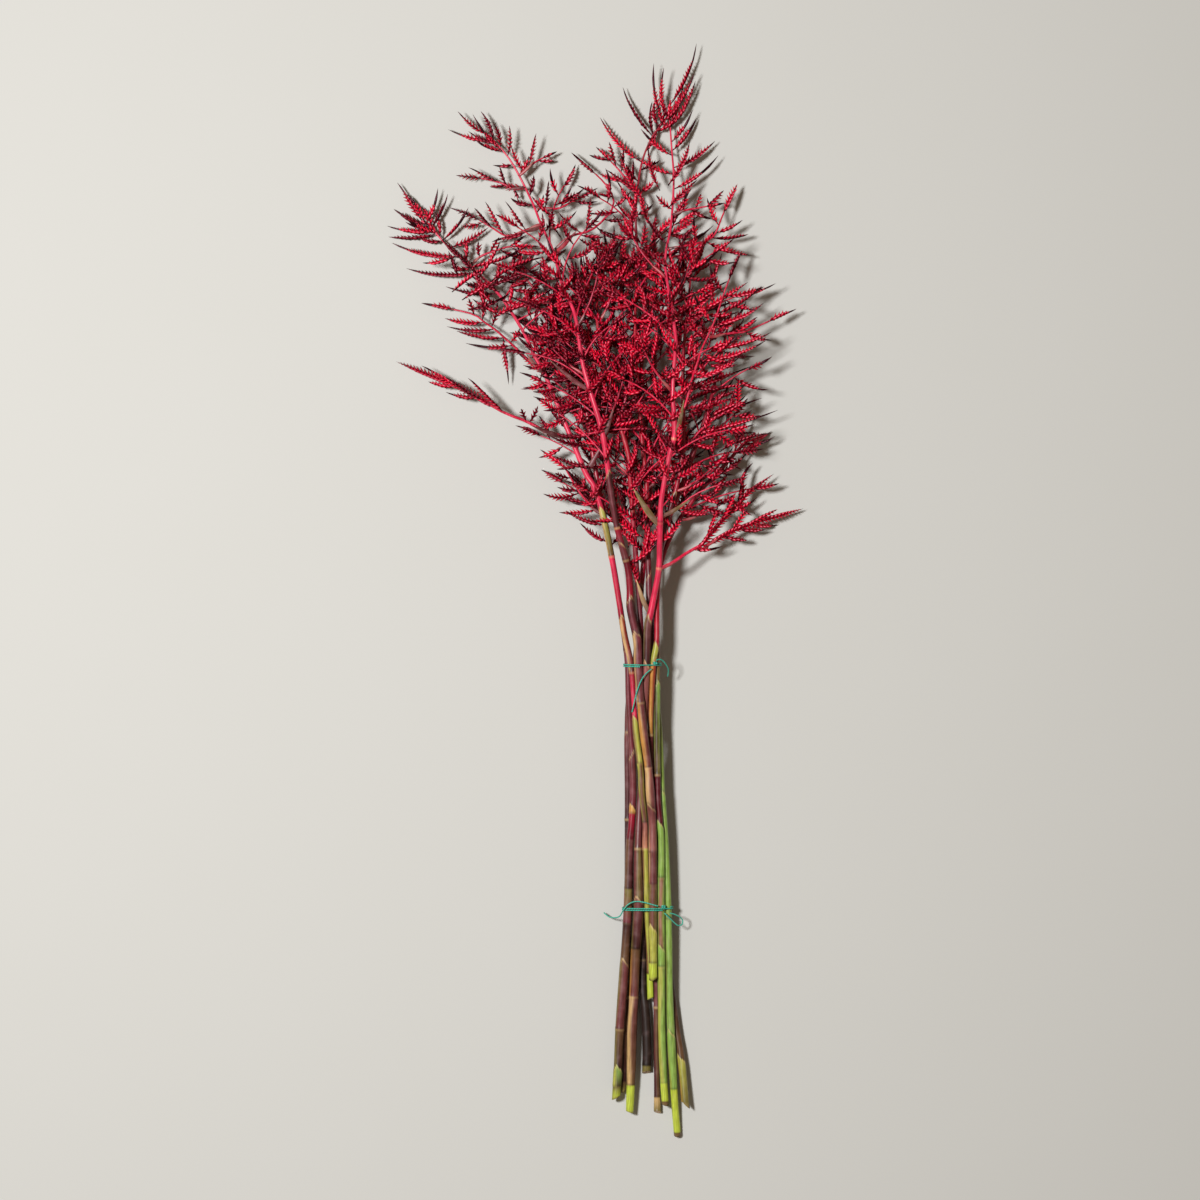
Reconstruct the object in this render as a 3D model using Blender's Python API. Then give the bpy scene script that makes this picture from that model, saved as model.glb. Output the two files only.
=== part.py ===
"""A bunch of ten cut bromeliad flower stems, tied twice with thin string and lying on its side.

Metres, +Z up. The stems run along Y with their cut ends towards -Y. The origin is on the surface
that the bunch lies on, under the middle of its outline. The tables below are in millimetres.
"""

import math

import bmesh
import bpy
import numpy as np

MM = 0.001
GAP = 0.35  # kept between any two pieces
STALK_GAP = 0.65  # kept between the smooth lines of two stalks, whose facets cut across the bends
# Corners of a stalk's section by their angle, from the right side round over the top. A stalk
# thinner than this has no corner at its very top and bottom. Spikes grow from the two flats.
THIN_STALK = 2.45
ROUND_SECTION = (30, 90, 150, 210, 270, 330)
FLAT_SECTION = (42, None, 138, 222, None, 318)
FLATS = {-1: (2, 3), 1: (5, 0)}
ARCHES = ((0, 1, 2), (3, 4, 5))
SPIKE_HALF_WIDTH = 1.9
SPIKE_HALF_HEIGHT = 1.5
BRACT_HALF_WIDTH = 2.9
BRACT_HALF_HEIGHT = 0.8
BRANCH_RADIUS = 1.25
BRANCH_TIP_RADIUS = 0.7
LAST_SPIKE_LENGTH = 38.0  # the spike that a branch ends in
LONG_SPIKE = 56.0
STRING_RADIUS = 0.65
KNOT_RADIUS = 1.7
TIE_STEPS = 144
TIE_GAP = 0.5

# Stations along the tied stalks, where they are laid side by side. Each turn pushes apart the
# stalks that are too near, and the first turns also even out the shifts along each stalk.
STATION_FROM = -550.0
STATION_TO = 130.0
STATION_STEP = 10.0
SETTLING_TURNS = 260
EVENING_TURNS = 200
# The outer flowers hang down: how far out of the middle a point is, and what is left of its height.
DROOP_MIDDLE = (45.0, 170.0)
DROOP_AWAY = (30.0, 75.0, 220.0)
DROOP_LEFT = (1.0, 0.86, 0.3)
DROOP_BEGINS = 80.0
# How far a spike or a branch may be raised or lowered to find free room, in the order tried.
RISES = (0, 4, -4, 8, -8, 12, -12, 16, -16, 21, -21, 27, -27)
# Spikes of a grown branch: their feet as shares of its length.
GROWN_FEET = (0.28, 0.46, 0.62, 0.78)
# Widest distance between rings, and half the width of a spike's foot, on stems and on branches.
STEM_RINGS = 36.0
STEM_FOOT = 1.3
BRANCH_RINGS = 30.0
BRANCH_FOOT = 1.1

# Each stem from its cut end to the top of its flower head: x, y, height, radius.
STEMS = {
    "stem_a": (
        (56, -411, 13, 3.2), (55, -365, 15, 3.0), (53, -319, 22, 2.9), (50, -259, 28, 2.9),
        (49.5, -233, 30, 2.6), (46.7, -205, 33, 3.0), (45.4, -177, 35, 2.9), (41.5, -145, 38, 3.1),
        (39, -110, 40, 2.5), (36, -74, 42, 2.8), (29, -42, 44, 2.9), (22, 2, 47, 3.0),
        (17, 31, 50, 2.9), (8, 74, 54, 2.9), (-1, 103, 58, 2.8), (-9, 116, 59, 2.7),
        (-24, 152, 62, 2.6), (-40, 191, 63, 2.3), (-50, 215, 62, 2.1), (-60, 233, 61, 2.0),
        (-71, 257, 58, 1.9), (-92, 291, 52, 1.8), (-110, 311, 47, 1.7), (-126, 326, 43, 1.6),
        (-144, 342, 38, 1.5), (-163, 362, 32, 1.3), (-175, 372, 29, 1.1),
    ),
    "stem_b": (
        (58, -389.5, 21, 4.2), (57, -319, 24, 4.2), (57, -259, 29, 4.3), (57, -233, 31, 3.7),
        (55, -205, 34, 4.5), (53, -177, 36, 3.9), (48.5, -142, 39, 4.4), (46, -110, 41, 3.6),
        (43.5, -74, 44, 4.2), (42.5, -50, 46, 4.2), (36, -19, 49, 4.0), (35, 1, 51, 3.3),
        (33, 21, 54, 3.3), (27, 44, 57, 3.2), (21, 67, 61, 3.0), (15, 103, 66, 3.2),
        (13, 119, 69, 2.7), (7, 158, 75, 2.9), (-5, 198, 80, 2.6), (-13, 229, 83, 2.3),
        (-20, 274, 84, 2.2), (-32, 302, 82, 2.0), (-42, 339, 77, 1.9), (-54, 366, 72, 1.7),
        (-62, 387, 67, 1.6), (-76, 416, 60, 1.5), (-88, 436, 54, 1.3), (-103, 453, 49, 1.2),
        (-113, 462, 46, 1.0),
    ),
    "stem_c": (
        (35, -525, 10, 4.0), (36.3, -490, 12, 4.6), (37.3, -444, 14, 4.8), (39, -410, 16, 4.8),
        (41, -365, 19, 4.8), (44.2, -319, 24, 4.9), (43.8, -280, 27, 4.4), (44.2, -250, 28, 3.4),
        (46, -205, 27, 3.1), (49, -170, 29, 3.2), (50, -130, 34, 3.3), (51.5, -100, 39, 3.4),
        (52.5, -74, 43, 3.4), (53, -38, 46, 3.4), (56, -23, 48, 3.3), (60, -2, 51, 3.0),
        (64, 22, 56, 2.9), (64.5, 46, 61, 2.8), (65, 66, 66, 2.8), (66, 89, 71, 2.5),
        (73, 130, 79, 2.5), (79, 156, 84, 2.7), (77, 195, 89, 2.3), (79, 229, 92, 2.2),
        (80, 250, 92, 2.1), (75, 286, 89, 1.9), (70, 328, 82, 1.7), (76, 365, 73, 1.6),
        (79, 411, 60, 1.5), (77, 445, 50, 1.3), (75, 478, 41, 1.1), (76, 493, 37, 1.0),
    ),
    "stem_d": (
        (63, -526, 3.8, 3.8), (62.5, -500, 5, 3.0), (62, -444, 8, 3.0), (61.8, -390, 11, 3.0),
        (61, -319, 15, 3.0), (61, -259, 19, 3.0), (60, -205, 24, 3.0), (57, -150, 31, 2.8),
        (56, -110, 36, 2.7), (57.5, -74, 41, 2.7), (61, -53, 42, 2.6), (61.5, -30, 42, 2.6),
        (62, -4, 43, 2.6), (64, 20, 45, 2.5), (67, 50, 49, 2.5), (74, 78, 53, 2.4),
        (83, 110, 57, 2.3), (88, 150, 60, 2.2), (88, 190, 62, 2.1), (88, 230, 62, 1.9),
        (91, 270, 60, 1.7), (95, 305, 56, 1.5), (98, 335, 51, 1.2),
    ),
    "stem_e": (
        (70.7, -517, 11, 3.6), (69, -490, 12, 3.7), (67.5, -444, 14, 3.9), (67.3, -390, 17, 3.9),
        (66.2, -319, 23, 3.8), (66.8, -259, 27, 2.9), (65, -233, 28, 3.0), (62, -205, 29, 3.0),
        (60, -150, 31, 3.0), (61, -110, 33, 2.9), (61.5, -74, 35, 2.9), (61, -40, 35, 2.8),
        (62, -5, 36, 2.7), (64, 30, 39, 2.6), (72, 65, 42, 2.5), (85, 100, 45, 2.4),
        (98, 135, 48, 2.3), (108, 165, 48, 2.2), (117, 195, 46, 2.0), (124, 225, 43, 1.7),
        (131, 255, 39, 1.4), (137, 280, 35, 1.1),
    ),
    "stem_f": (
        (83.2, -549, 3.6, 3.6), (80, -510, 8, 3.8), (76.4, -444, 12, 3.9), (74.3, -390, 15, 3.4),
        (73, -319, 20, 3.3), (70, -259, 24, 3.1), (67, -205, 25, 3.0), (65, -150, 26, 2.9),
        (62, -110, 27, 2.8), (57, -74, 28, 2.8), (60, -40, 28, 2.7), (62, -5, 28, 2.7),
        (67, 30, 29, 2.6), (80, 62, 30, 2.4), (102, 95, 30, 2.2), (126, 121, 29, 2.0),
        (145, 142, 27, 1.7), (161, 158, 25, 1.3),
    ),
    "stem_g": (
        (91, -517, 12, 3.9), (86.5, -471, 10, 3.7), (82, -444, 9, 3.6), (76, -400, 11, 3.5),
        (68, -319, 15, 3.4), (65, -259, 18, 3.3), (60, -205, 21, 3.2), (56, -150, 25, 3.1),
        (54.5, -110, 29, 3.0), (54, -74, 34, 3.0), (55, -40, 36, 2.9), (54, 0, 37, 2.8),
        (53, 50, 38, 2.7), (52, 100, 41, 2.5), (47, 150, 43, 2.3), (44, 190, 45, 2.2),
        (41, 230, 46, 2.0), (40, 270, 46, 1.8), (41, 305, 43, 1.5), (38, 340, 39, 1.2),
    ),
    "stem_h": (
        (52, -486, 4.6, 4.6), (52.5, -460, 6, 5.0), (51, -425, 8, 4.6), (48, -390, 9, 4.2),
        (48, -319, 14, 3.9), (49, -259, 19, 3.6), (49, -205, 22, 3.4), (47, -150, 27, 3.1),
        (46.5, -110, 31, 3.0), (46.5, -74, 35, 3.0), (46, -40, 39, 2.9), (44, -10, 41, 2.8),
        (41, 30, 45, 2.7), (38, 70, 49, 2.6), (35, 113, 54, 2.5), (33, 136, 56, 2.5),
        (23, 170, 58, 2.3), (15, 200, 58, 2.2), (8, 230, 56, 2.0), (3, 260, 53, 1.9),
        (2, 290, 49, 1.7), (6, 320, 45, 1.4), (12, 348, 41, 1.1),
    ),
    "stem_i": (
        (21.5, -510, 11, 4.3), (23.5, -477, 12, 4.5), (25, -444, 13, 4.5), (29, -390, 16, 4.5),
        (33.6, -319, 22, 4.3), (35.5, -259, 26, 4.1), (37.8, -233, 28, 3.4), (38.7, -205, 29, 3.2),
        (38, -176, 31, 3.2), (36, -142, 33, 3.1), (34, -110, 35, 3.0), (33, -74, 37, 3.0),
        (29, -42, 37, 2.9), (22, 2, 38, 2.8), (16, 40, 39, 2.6), (9, 75, 40, 2.5),
        (3, 105, 41, 2.4), (-2, 135, 41, 2.3), (-7, 170, 40, 2.2), (-13, 200, 39, 2.1),
        (-24, 232, 37, 2.0), (-38, 265, 34, 1.8), (-54, 293, 31, 1.6), (-72, 316, 28, 1.3),
        (-86, 330, 26, 1.1),
    ),
    "stem_j": (
        (27.5, -504, 4, 4.0), (28.5, -460, 6, 4.0), (30, -420, 8, 4.0), (31.5, -390, 10, 3.9),
        (33, -319, 14, 3.7), (33, -259, 18, 3.4), (33, -205, 22, 3.1), (32.5, -150, 26, 3.0),
        (34, -110, 29, 3.0), (40, -74, 30, 3.0), (43, -40, 31, 2.9), (46, 0, 32, 2.8),
        (50, 40, 32, 2.7), (54, 80, 32, 2.6), (56, 127, 31, 2.4), (50, 155, 31, 2.3),
        (45, 185, 31, 2.2), (46, 220, 32, 2.1), (50, 255, 33, 2.0), (48, 300, 35, 1.9),
        (43, 340, 38, 1.8), (41, 380, 42, 1.7), (46, 425, 46, 1.5), (56, 453, 48, 1.3),
        (66, 468, 48, 1.2), (71, 484, 47, 1.0),
    ),
}

# The side branches that spread out of the bunch: stem, the branch's line of x, y, height from the
# stem outwards, and its flower spikes as foot x, y, tip x, y, and the rise from foot to tip.
BRANCHES = (
    ("stem_a", ((-24, 152, 62), (-46, 156, 60), (-67, 168, 57), (-90, 177, 53), (-111, 189, 49),
                (-128, 199, 46), (-148, 208, 42), (-167, 216, 38), (-200, 230, 31)),
     ((-66, 168, -57, 184, 6), (-69, 169, -74, 181, 8), (-91, 178, -127, 212, 6),
      (-112, 190, -150, 213, 10), (-130, 200, -174, 225, 5), (-140, 204, -168, 210, -8),
      (-118, 193, -150, 199, -10))),
    ("stem_a", ((-50, 215, 62), (-60, 224, 58), (-70, 233, 54), (-82, 245, 50), (-92, 254, 47),
                (-101, 262, 45), (-110, 268, 42), (-125, 278, 39), (-175, 289, 27)),
     ((-82, 245, -130, 248, -12), (-85, 248, -75, 262, 8), (-91, 253, -139, 260, -4),
      (-92, 254, -87, 207, -16), (-101, 262, -149, 265, -8), (-104, 264, -98, 289, 8),
      (-111, 269, -151, 273, -2), (-114, 271, -113, 295, 6), (-122, 276, -127, 293, 6))),
    ("stem_a", ((-126, 326, 43), (-114, 336, 46), (-100, 341, 48), (-85, 345, 49), (-56, 345, 50)),
     ((-116, 335, -117, 350, 8), (-106, 339, -96, 354, 10), (-95, 342, -72, 333, -6),
      (-86, 345, -69, 356, 6))),
    ("stem_a", ((8, 74, 54), (-3, 82, 50), (-17, 100, 46), (-26, 115, 42), (-33, 125, 40),
                (-55, 141, 34)),
     ((-8, 88, -34, 93, -10), (-17, 100, -38, 103, -4), (-24, 112, -40, 117, 8),
      (-14, 96, -10, 116, 8))),
    ("stem_b", ((-76, 416, 60), (-66, 426, 59), (-55, 433, 57), (-38, 441, 52)),
     ((-67, 425, -59, 458, 8), (-71, 421, -84, 445, 8), (-57, 432, -40, 432, -8))),
    ("stem_b", ((-68, 405, 64), (-82, 403, 60), (-94, 409, 56), (-115, 414, 52),
                (-140, 417, 46)),
     ((-82, 403, -76, 394, -6), (-90, 407, -106, 406, -8), (-98, 410, -127, 424, 4),
      (-90, 407, -96, 425, 8))),
    ("stem_b", ((-61, 385, 67), (-49, 383, 65), (-36, 383, 62), (-21, 391, 58), (3, 404, 50)),
     ((-50, 383, -46, 410, 10), (-47, 383, -33, 353, -16), (-35, 384, -23, 404, 8),
      (-22, 391, 3, 391, -10), (-28, 387, -14, 398, 8))),
    ("stem_b", ((-54, 366, 72), (-72, 360, 67), (-88, 355, 62), (-105, 365, 57), (-124, 376, 52),
                (-147, 385, 44)),
     ((-69, 361, -90, 389, 10), (-91, 357, -110, 389, 10), (-103, 364, -121, 383, 10),
      (-80, 357, -104, 350, -12), (-113, 370, -134, 366, -6))),
    ("stem_b", ((-42, 339, 77), (-25, 354, 76), (-8, 358, 74), (4, 366, 72), (13, 376, 69),
                (19, 388, 66), (10, 408, 60), (-24, 440, 48)),
     ((-13, 357, -37, 378, 4), (-9, 358, -4, 393, 10), (9, 371, 32, 372, -12),
      (17, 384, 36, 400, -6), (16, 394, 4, 396, 10), (1, 364, 22, 352, -14))),
    ("stem_c", ((77, 376, 77), (90, 380, 76), (105, 383, 74), (130, 388, 68)),
     ((88, 380, 92, 400, 8), (101, 382, 106, 396, 10), (96, 381, 118, 372, -10),
      (112, 385, 129, 400, 4))),
    ("stem_c", ((74, 340, 83), (96, 345, 78), (110, 349, 74), (120, 356, 70), (128, 376, 64),
                (143, 408, 54)),
     ((102, 347, 99, 374, 12), (110, 349, 157, 336, -18), (117, 353, 154, 357, -12),
      (121, 358, 148, 371, -6), (124, 366, 112, 392, 6))),
    ("stem_c", ((64, 21, 56), (77, 27, 52), (93, 38, 48), (106, 45, 44), (112, 52, 42),
                (119, 60, 40), (132, 75, 36), (146, 88, 32), (154, 98, 30), (180, 117, 24)),
     ((110, 50, 125, 89, 6), (126, 68, 141, 98, 8), (135, 78, 163, 93, -6),
      (143, 85, 147, 107, 8), (150, 93, 149, 111, 6), (98, 41, 128, 44, -10))),
    ("stem_c", ((79, 157, 84), (88, 178, 90), (93, 196, 93), (96, 209, 94), (101, 223, 94),
                (105, 237, 92), (110, 248, 90), (117, 263, 86), (122, 276, 82), (127, 291, 78),
                (133, 308, 72), (147, 340, 62)),
     ((96, 209, 145, 232, -12), (99, 218, 78, 240, 10), (102, 227, 171, 249, -22),
      (106, 239, 176, 257, -20), (110, 248, 88, 276, 12), (117, 263, 169, 287, -20),
      (122, 276, 167, 304, -14), (118, 265, 97, 297, 10), (128, 293, 181, 307, -16),
      (129, 296, 113, 327, 6))),
    ("stem_j", ((43, 396, 43), (36, 405, 42), (26, 420, 41), (14, 433, 39), (1, 446, 36)),
     ((36, 405, 38, 432, 8), (31, 412, 4, 419, -6), (26, 420, 28, 444, 8),
      (21, 425, 14, 450, 8), (14, 433, -6, 438, -2))),
)

# The longest side branch of stem_c forks near its middle: this is the lower arm of the fork.
FORKS = (
    ("stem_c", ((112, 45, 39), (124, 52, 36), (137, 59, 33), (152, 65, 30), (164, 69, 28),
                (210, 82, 20)),
     ((128, 55, 153, 50, -8), (137, 59, 153, 82, 6), (143, 61, 172, 61, -8),
      (150, 64, 183, 81, 4), (157, 67, 184, 66, -60))),
    ("stem_c", ((116, 252, 84), (130, 255, 78), (142, 257, 74), (152, 259, 70), (202, 282, 54)),
     ((132, 255, 146, 240, -10), (140, 257, 162, 272, 6), (150, 258, 177, 250, -12))),
)

# Side branches inside the bunch: stem, where they leave it, side (-1 left, 1 right), length, rise.
GROWN = (
    ("stem_b", 158, 1, 82, -6), ("stem_b", 212, -1, 64, -16), ("stem_b", 262, 1, 84, 8),
    ("stem_h", 113, -1, 66, -12), ("stem_h", 170, 1, 84, 10), ("stem_h", 220, -1, 86, -10),
    ("stem_h", 266, 1, 70, 2),
    ("stem_g", 100, 1, 70, 8), ("stem_g", 185, -1, 84, 12), ("stem_g", 245, 1, 76, -4),
    ("stem_i", 135, 1, 62, -6), ("stem_i", 200, -1, 60, -12), ("stem_i", 250, 1, 82, -8),
    ("stem_j", 150, -1, 80, -10), ("stem_j", 215, 1, 84, -12), ("stem_j", 290, -1, 84, -6),
    ("stem_d", 98, 1, 66, -6), ("stem_d", 150, -1, 72, 6), ("stem_d", 205, 1, 76, -16),
    ("stem_d", 262, -1, 74, -2),
    ("stem_e", 95, 1, 74, -6), ("stem_e", 150, 1, 66, -14),
    ("stem_f", 70, 1, 62, -8),
    ("stem_c", 195, -1, 74, 4), ("stem_c", 286, 1, 72, -6), ("stem_c", 310, -1, 80, -6),
)

# Flower spikes and bracts that grow straight from a stem: foot x, y, tip x, y, rise.
STEM_SPIKES = {
    "stem_a": (
        (11, 47, -15, 67, -10), (7, 64, -30, 79, -12), (-98, 297, -150, 305, -8),
        (-120, 318, -190, 324, -10), (-137, 336, -205, 350, -10), (-147, 345, -107, 365, 6),
        (-154, 352, -127, 384, 8), (-160, 358, -208, 356, -60), (-166, 364, -148, 398, 8),
        (-163, 361, -210, 367, -6), (-171, 369, -158, 404, 6), (-170, 368, -203, 384, -8),
        (-173, 371, -199, 410, 2),
    ),
    "stem_b": (
        (-34, 315, -60, 330, -8), (-83, 428, -103, 428, -10), (-88, 436, -86, 466, 8),
        (-92, 441, -123, 478, 6), (-101, 451, -148, 464, -8), (-108, 458, -138, 481, 4),
    ),
    "stem_c": (
        (68, 320, 92, 318, -14), (72, 345, 52, 372, -6), (80, 402, 124, 437, -10),
        (78, 417, 38, 436, -8), (79, 424, 121, 452, -8), (77, 437, 46, 463, -4),
        (77, 442, 102, 475, -8), (77, 450, 98, 482, 6), (76, 465, 101, 512, 2),
        (75, 478, 100, 520, 8), (76, 488, 102, 550, 4),
    ),
    "stem_d": (
        (92, 275, 118, 300, -12), (94, 295, 72, 322, -8), (96, 318, 122, 332, -12),
        (97, 325, 88, 358, 4),
    ),
    "stem_e": (
        (108, 166, 152, 196, -12), (113, 184, 140, 214, -10), (116, 192, 154, 208, -14),
        (120, 208, 100, 236, -8), (128, 240, 160, 236, -60), (131, 255, 163, 272, -16),
        (133, 262, 118, 292, 4),
    ),
    "stem_f": (
        (104, 84, 138, 112, -60), (122, 113, 155, 140, -12), (126, 120, 112, 146, -10),
        (140, 137, 172, 152, -12), (147, 145, 135, 176, -2), (152, 150, 178, 160, -60),
    ),
    "stem_g": (
        (56, 35, 34, 62, -10), (41, 232, 14, 256, -6), (41, 285, 66, 306, -8),
        (41, 300, 22, 322, -2), (40, 318, 60, 345, -4),
    ),
    "stem_h": (
        (39, 62, 62, 88, 6), (9, 228, -18, 246, -8), (2, 280, 26, 300, 4), (3, 296, -20, 322, -4),
        (8, 330, 28, 352, -2),
    ),
    "stem_i": (
        (15, 44, 33, 68, -10), (-20, 222, -46, 228, -60), (-45, 278, -24, 300, -6),
        (-52, 290, -88, 296, -12), (-64, 307, -46, 326, -4), (-70, 314, -104, 318, -60),
        (-79, 323, -62, 340, -2),
    ),
    "stem_j": (
        (52, 60, 66, 92, -60), (49, 160, 30, 186, -60), (47, 240, 24, 262, -60),
        (46, 235, 72, 252, -14), (48, 300, 26, 322, -12), (44, 335, 66, 354, -8),
        (41, 370, 20, 392, -12), (47, 430, 5, 476, -8), (50, 440, 64, 472, 6),
        (58, 456, 28, 506, -4), (68, 474, 59, 529, 6), (70, 478, 69, 524, 12),
    ),
}
BRACTS = {
    "stem_a": ((-10, 118, 6, 143, 6), (-24, 152, -64, 163, 6), (-50, 215, -69, 236, 2)),
    "stem_b": ((-5, 198, -45, 228, 8), (8, 152, 18, 180, 8), (-54, 364, -77, 356, 6),
               (-41, 336, -17, 359, 6)),
    "stem_c": ((55.5, -25, 41, 11, 6), (65, 64, 38, 101, 8), (65.5, 72, 95, 90, -4),
               (77.5, 150, 88, 188, 10)),
}

# Each tie: where it goes round the stalks, the place of its knot across them, and its turns.
TIES = {"upper_tie": (-75.0, 60.0, 2, 1.7), "lower_tie": (-319.5, 68.5, 2, 1.7)}
# The free tails of the string, each from its knot outwards: x, y, height.
TAILS = {
    "upper_tie_short_tail": (
        (61, -70.2, 46.5), (66, -69.5, 44), (71, -74.5, 38.5), (73.5, -80, 32), (73, -86.5, 24.5),
    ),
    "upper_tie_long_tail": (
        (56.5, -78.6, 47), (48, -87, 49.2), (42, -101, 48.8), (37, -122, 43.8),
    ),
    "lower_tie_tail": (
        (63.2, -316.6, 32.6), (58, -315.2, 33.5), (50, -313, 33), (41, -312, 31.6),
        (34, -314.5, 31), (29, -320, 29), (24, -328, 22), (15, -329, 13), (9, -325, 6),
    ),
    "lower_tie_loop": (
        (69.5, -323.8, 28.9), (75, -329, 27), (82, -336, 22), (87, -336.5, 20),
        (87.5, -330.5, 20.5), (81, -325.8, 25), (75, -324, 27.4),
    ),
}

STALK_COLOURS = {
    "stem_a": (0.42, 0.33, 0.10), "stem_b": (0.24, 0.12, 0.09), "stem_c": (0.20, 0.10, 0.08),
    "stem_d": (0.40, 0.16, 0.06), "stem_e": (0.28, 0.42, 0.14), "stem_f": (0.30, 0.45, 0.14),
    "stem_g": (0.12, 0.10, 0.04), "stem_h": (0.05, 0.04, 0.04), "stem_i": (0.17, 0.09, 0.08),
    "stem_j": (0.13, 0.06, 0.06),
}
FLOWER_COLOUR = (0.48, 0.012, 0.035)
STRING_COLOUR = (0.03, 0.36, 0.25)


# ---- where everything lies ------------------------------------------------------------------


def unit(vector):
    return vector / np.linalg.norm(vector)


def smooth(points, steps=6):
    """A fine line through the points, bent gently at each of them."""
    p = np.array(points, float)
    p = np.vstack([2 * p[0] - p[1], p, 2 * p[-1] - p[-2]])
    t = np.linspace(0, 1, steps, endpoint=False)[:, None]
    rows = []
    for a, b, c, d in zip(p[:-3], p[1:-2], p[2:-1], p[3:]):
        curve = (2 * b) + (c - a) * t + (2 * a - 5 * b + 4 * c - d) * t * t
        rows.append(0.5 * (curve + (3 * b - a - 3 * c + d) * t * t * t))
    rows.append(p[-2][None])
    return np.vstack(rows)


def drooped(points):
    """The same points, lowered where they are far out of the middle of the flowers."""
    p = np.array(points, float)
    up = 0.8 * np.maximum(p[:, 1] - DROOP_MIDDLE[1], 0)
    away = np.hypot(p[:, 0] - DROOP_MIDDLE[0], up) * np.clip(p[:, 1] / DROOP_BEGINS, 0, 1)
    p[:, 2] *= np.interp(away, DROOP_AWAY, DROOP_LEFT)
    return p


def lay_side_by_side():
    """Fine lines of the stems as x, y, height, radius, with no two stalks sharing any room."""
    lines = {name: drooped(smooth(points)) for name, points in STEMS.items()}
    names = list(lines)
    y = np.arange(STATION_FROM, STATION_TO + 1, STATION_STEP)
    wanted = np.array([[np.interp(y, lines[n][:, 1], lines[n][:, k]) for k in (0, 2, 3)] for n in names])
    there = np.array([(y >= lines[n][0, 1] - 1) & (y <= lines[n][-1, 1]) for n in names])
    place = wanted[:, :2].copy()
    radius = wanted[:, 2]
    for turn in range(SETTLING_TURNS):
        for i in range(len(names)):
            for j in range(i + 1, len(names)):
                apart = place[i] - place[j]
                distance = np.maximum(np.hypot(*apart), 1e-6)
                short = np.maximum(radius[i] + radius[j] + STALK_GAP - distance, 0)
                push = np.where(there[i] & there[j], 0.5 * short / distance, 0) * apart
                place[i] += push
                place[j] -= push
        place[:, 1] = np.maximum(place[:, 1], radius)
        if turn < EVENING_TURNS:
            moved = place - wanted[:, :2]
            even = moved.copy()
            even[:, :, 1:-1] = 0.5 * moved[:, :, 1:-1] + 0.25 * (moved[:, :, :-2] + moved[:, :, 2:])
            place = wanted[:, :2] + 0.995 * even
    moved = place - wanted[:, :2]
    for name, shift, present in zip(names, moved, there):
        line = lines[name]
        line[:, 0] += np.interp(line[:, 1], y[present], shift[0][present])
        line[:, 2] += np.interp(line[:, 1], y[present], shift[1][present])
        line[:, 2] = np.maximum(line[:, 2], line[:, 3])
    return lines


def stem_at(line, y):
    """The middle of a stem at this y, its direction there and its radius."""
    middle = np.array([np.interp(y, line[:, 1], line[:, k]) for k in range(3)])
    ahead = np.array([np.interp(y + 3, line[:, 1], line[:, k]) for k in range(3)])
    behind = np.array([np.interp(y - 3, line[:, 1], line[:, k]) for k in range(3)])
    return middle, unit(ahead - behind), np.interp(y, line[:, 1], line[:, 3])


def lengths(line):
    return np.concatenate([[0], np.cumsum(np.linalg.norm(np.diff(line[:, :3], axis=0), axis=1))])


def at_length(line, s):
    along = lengths(line)
    return np.array([np.interp(s, along, line[:, k]) for k in range(line.shape[1])])


def nearest_length(line, x, y):
    """How far along the line its point nearest to x, y lies, seen from above."""
    fine = np.array([at_length(line, s) for s in np.arange(0, lengths(line)[-1], 1.0)])
    return float(np.argmin(np.hypot(fine[:, 0] - x, fine[:, 1] - y)))


def segment_distance(a, b, starts, ends):
    """Distance from the segment a-b to each of the others."""
    u, v, w = b - a, ends - starts, a - starts
    uu = max(u @ u, 1e-9)
    vv = np.maximum((v * v).sum(1), 1e-9)
    uv, uw, vw = v @ u, w @ u, (v * w).sum(1)
    bottom = uu * vv - uv * uv
    s = np.clip(np.where(bottom > 1e-9, (uv * vw - vv * uw) / np.maximum(bottom, 1e-9), 0.5), 0, 1)
    t = np.clip((uv * s + vw) / vv, 0, 1)
    s = np.clip((uv * t - uw) / uu, 0, 1)
    return np.linalg.norm((a + s[:, None] * u) - (starts + t[:, None] * v), axis=1)


class Room:
    """The room that is already taken, as round rods."""

    def __init__(self):
        self.starts = np.zeros((0, 3))
        self.ends = np.zeros((0, 3))
        self.radii = np.zeros(0)
        self.owners = np.zeros(0, int)
        self.names = []

    def take(self, owner, path, radii):
        if owner not in self.names:
            self.names.append(owner)
        number = self.names.index(owner)
        path = np.array(path, float)[:, :3]
        self.starts = np.vstack([self.starts, path[:-1]])
        self.ends = np.vstack([self.ends, path[1:]])
        self.radii = np.append(self.radii, np.maximum(radii[:-1], radii[1:]))
        self.owners = np.append(self.owners, np.full(len(path) - 1, number))

    def is_free(self, path, radii, near=()):
        """Whether a rod along the path is clear. Its first piece may leave the owners in near."""
        skipped = [self.names.index(name) for name in near if name in self.names]
        for k, (a, b) in enumerate(zip(path[:-1], path[1:])):
            size = max(radii[k], radii[k + 1])
            apart = segment_distance(a, b, self.starts, self.ends) - self.radii - size
            if k == 0 and skipped:
                apart = np.where(np.isin(self.owners, skipped), 1.0, apart)
            if (apart < GAP).any():
                return False
        return True


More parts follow.
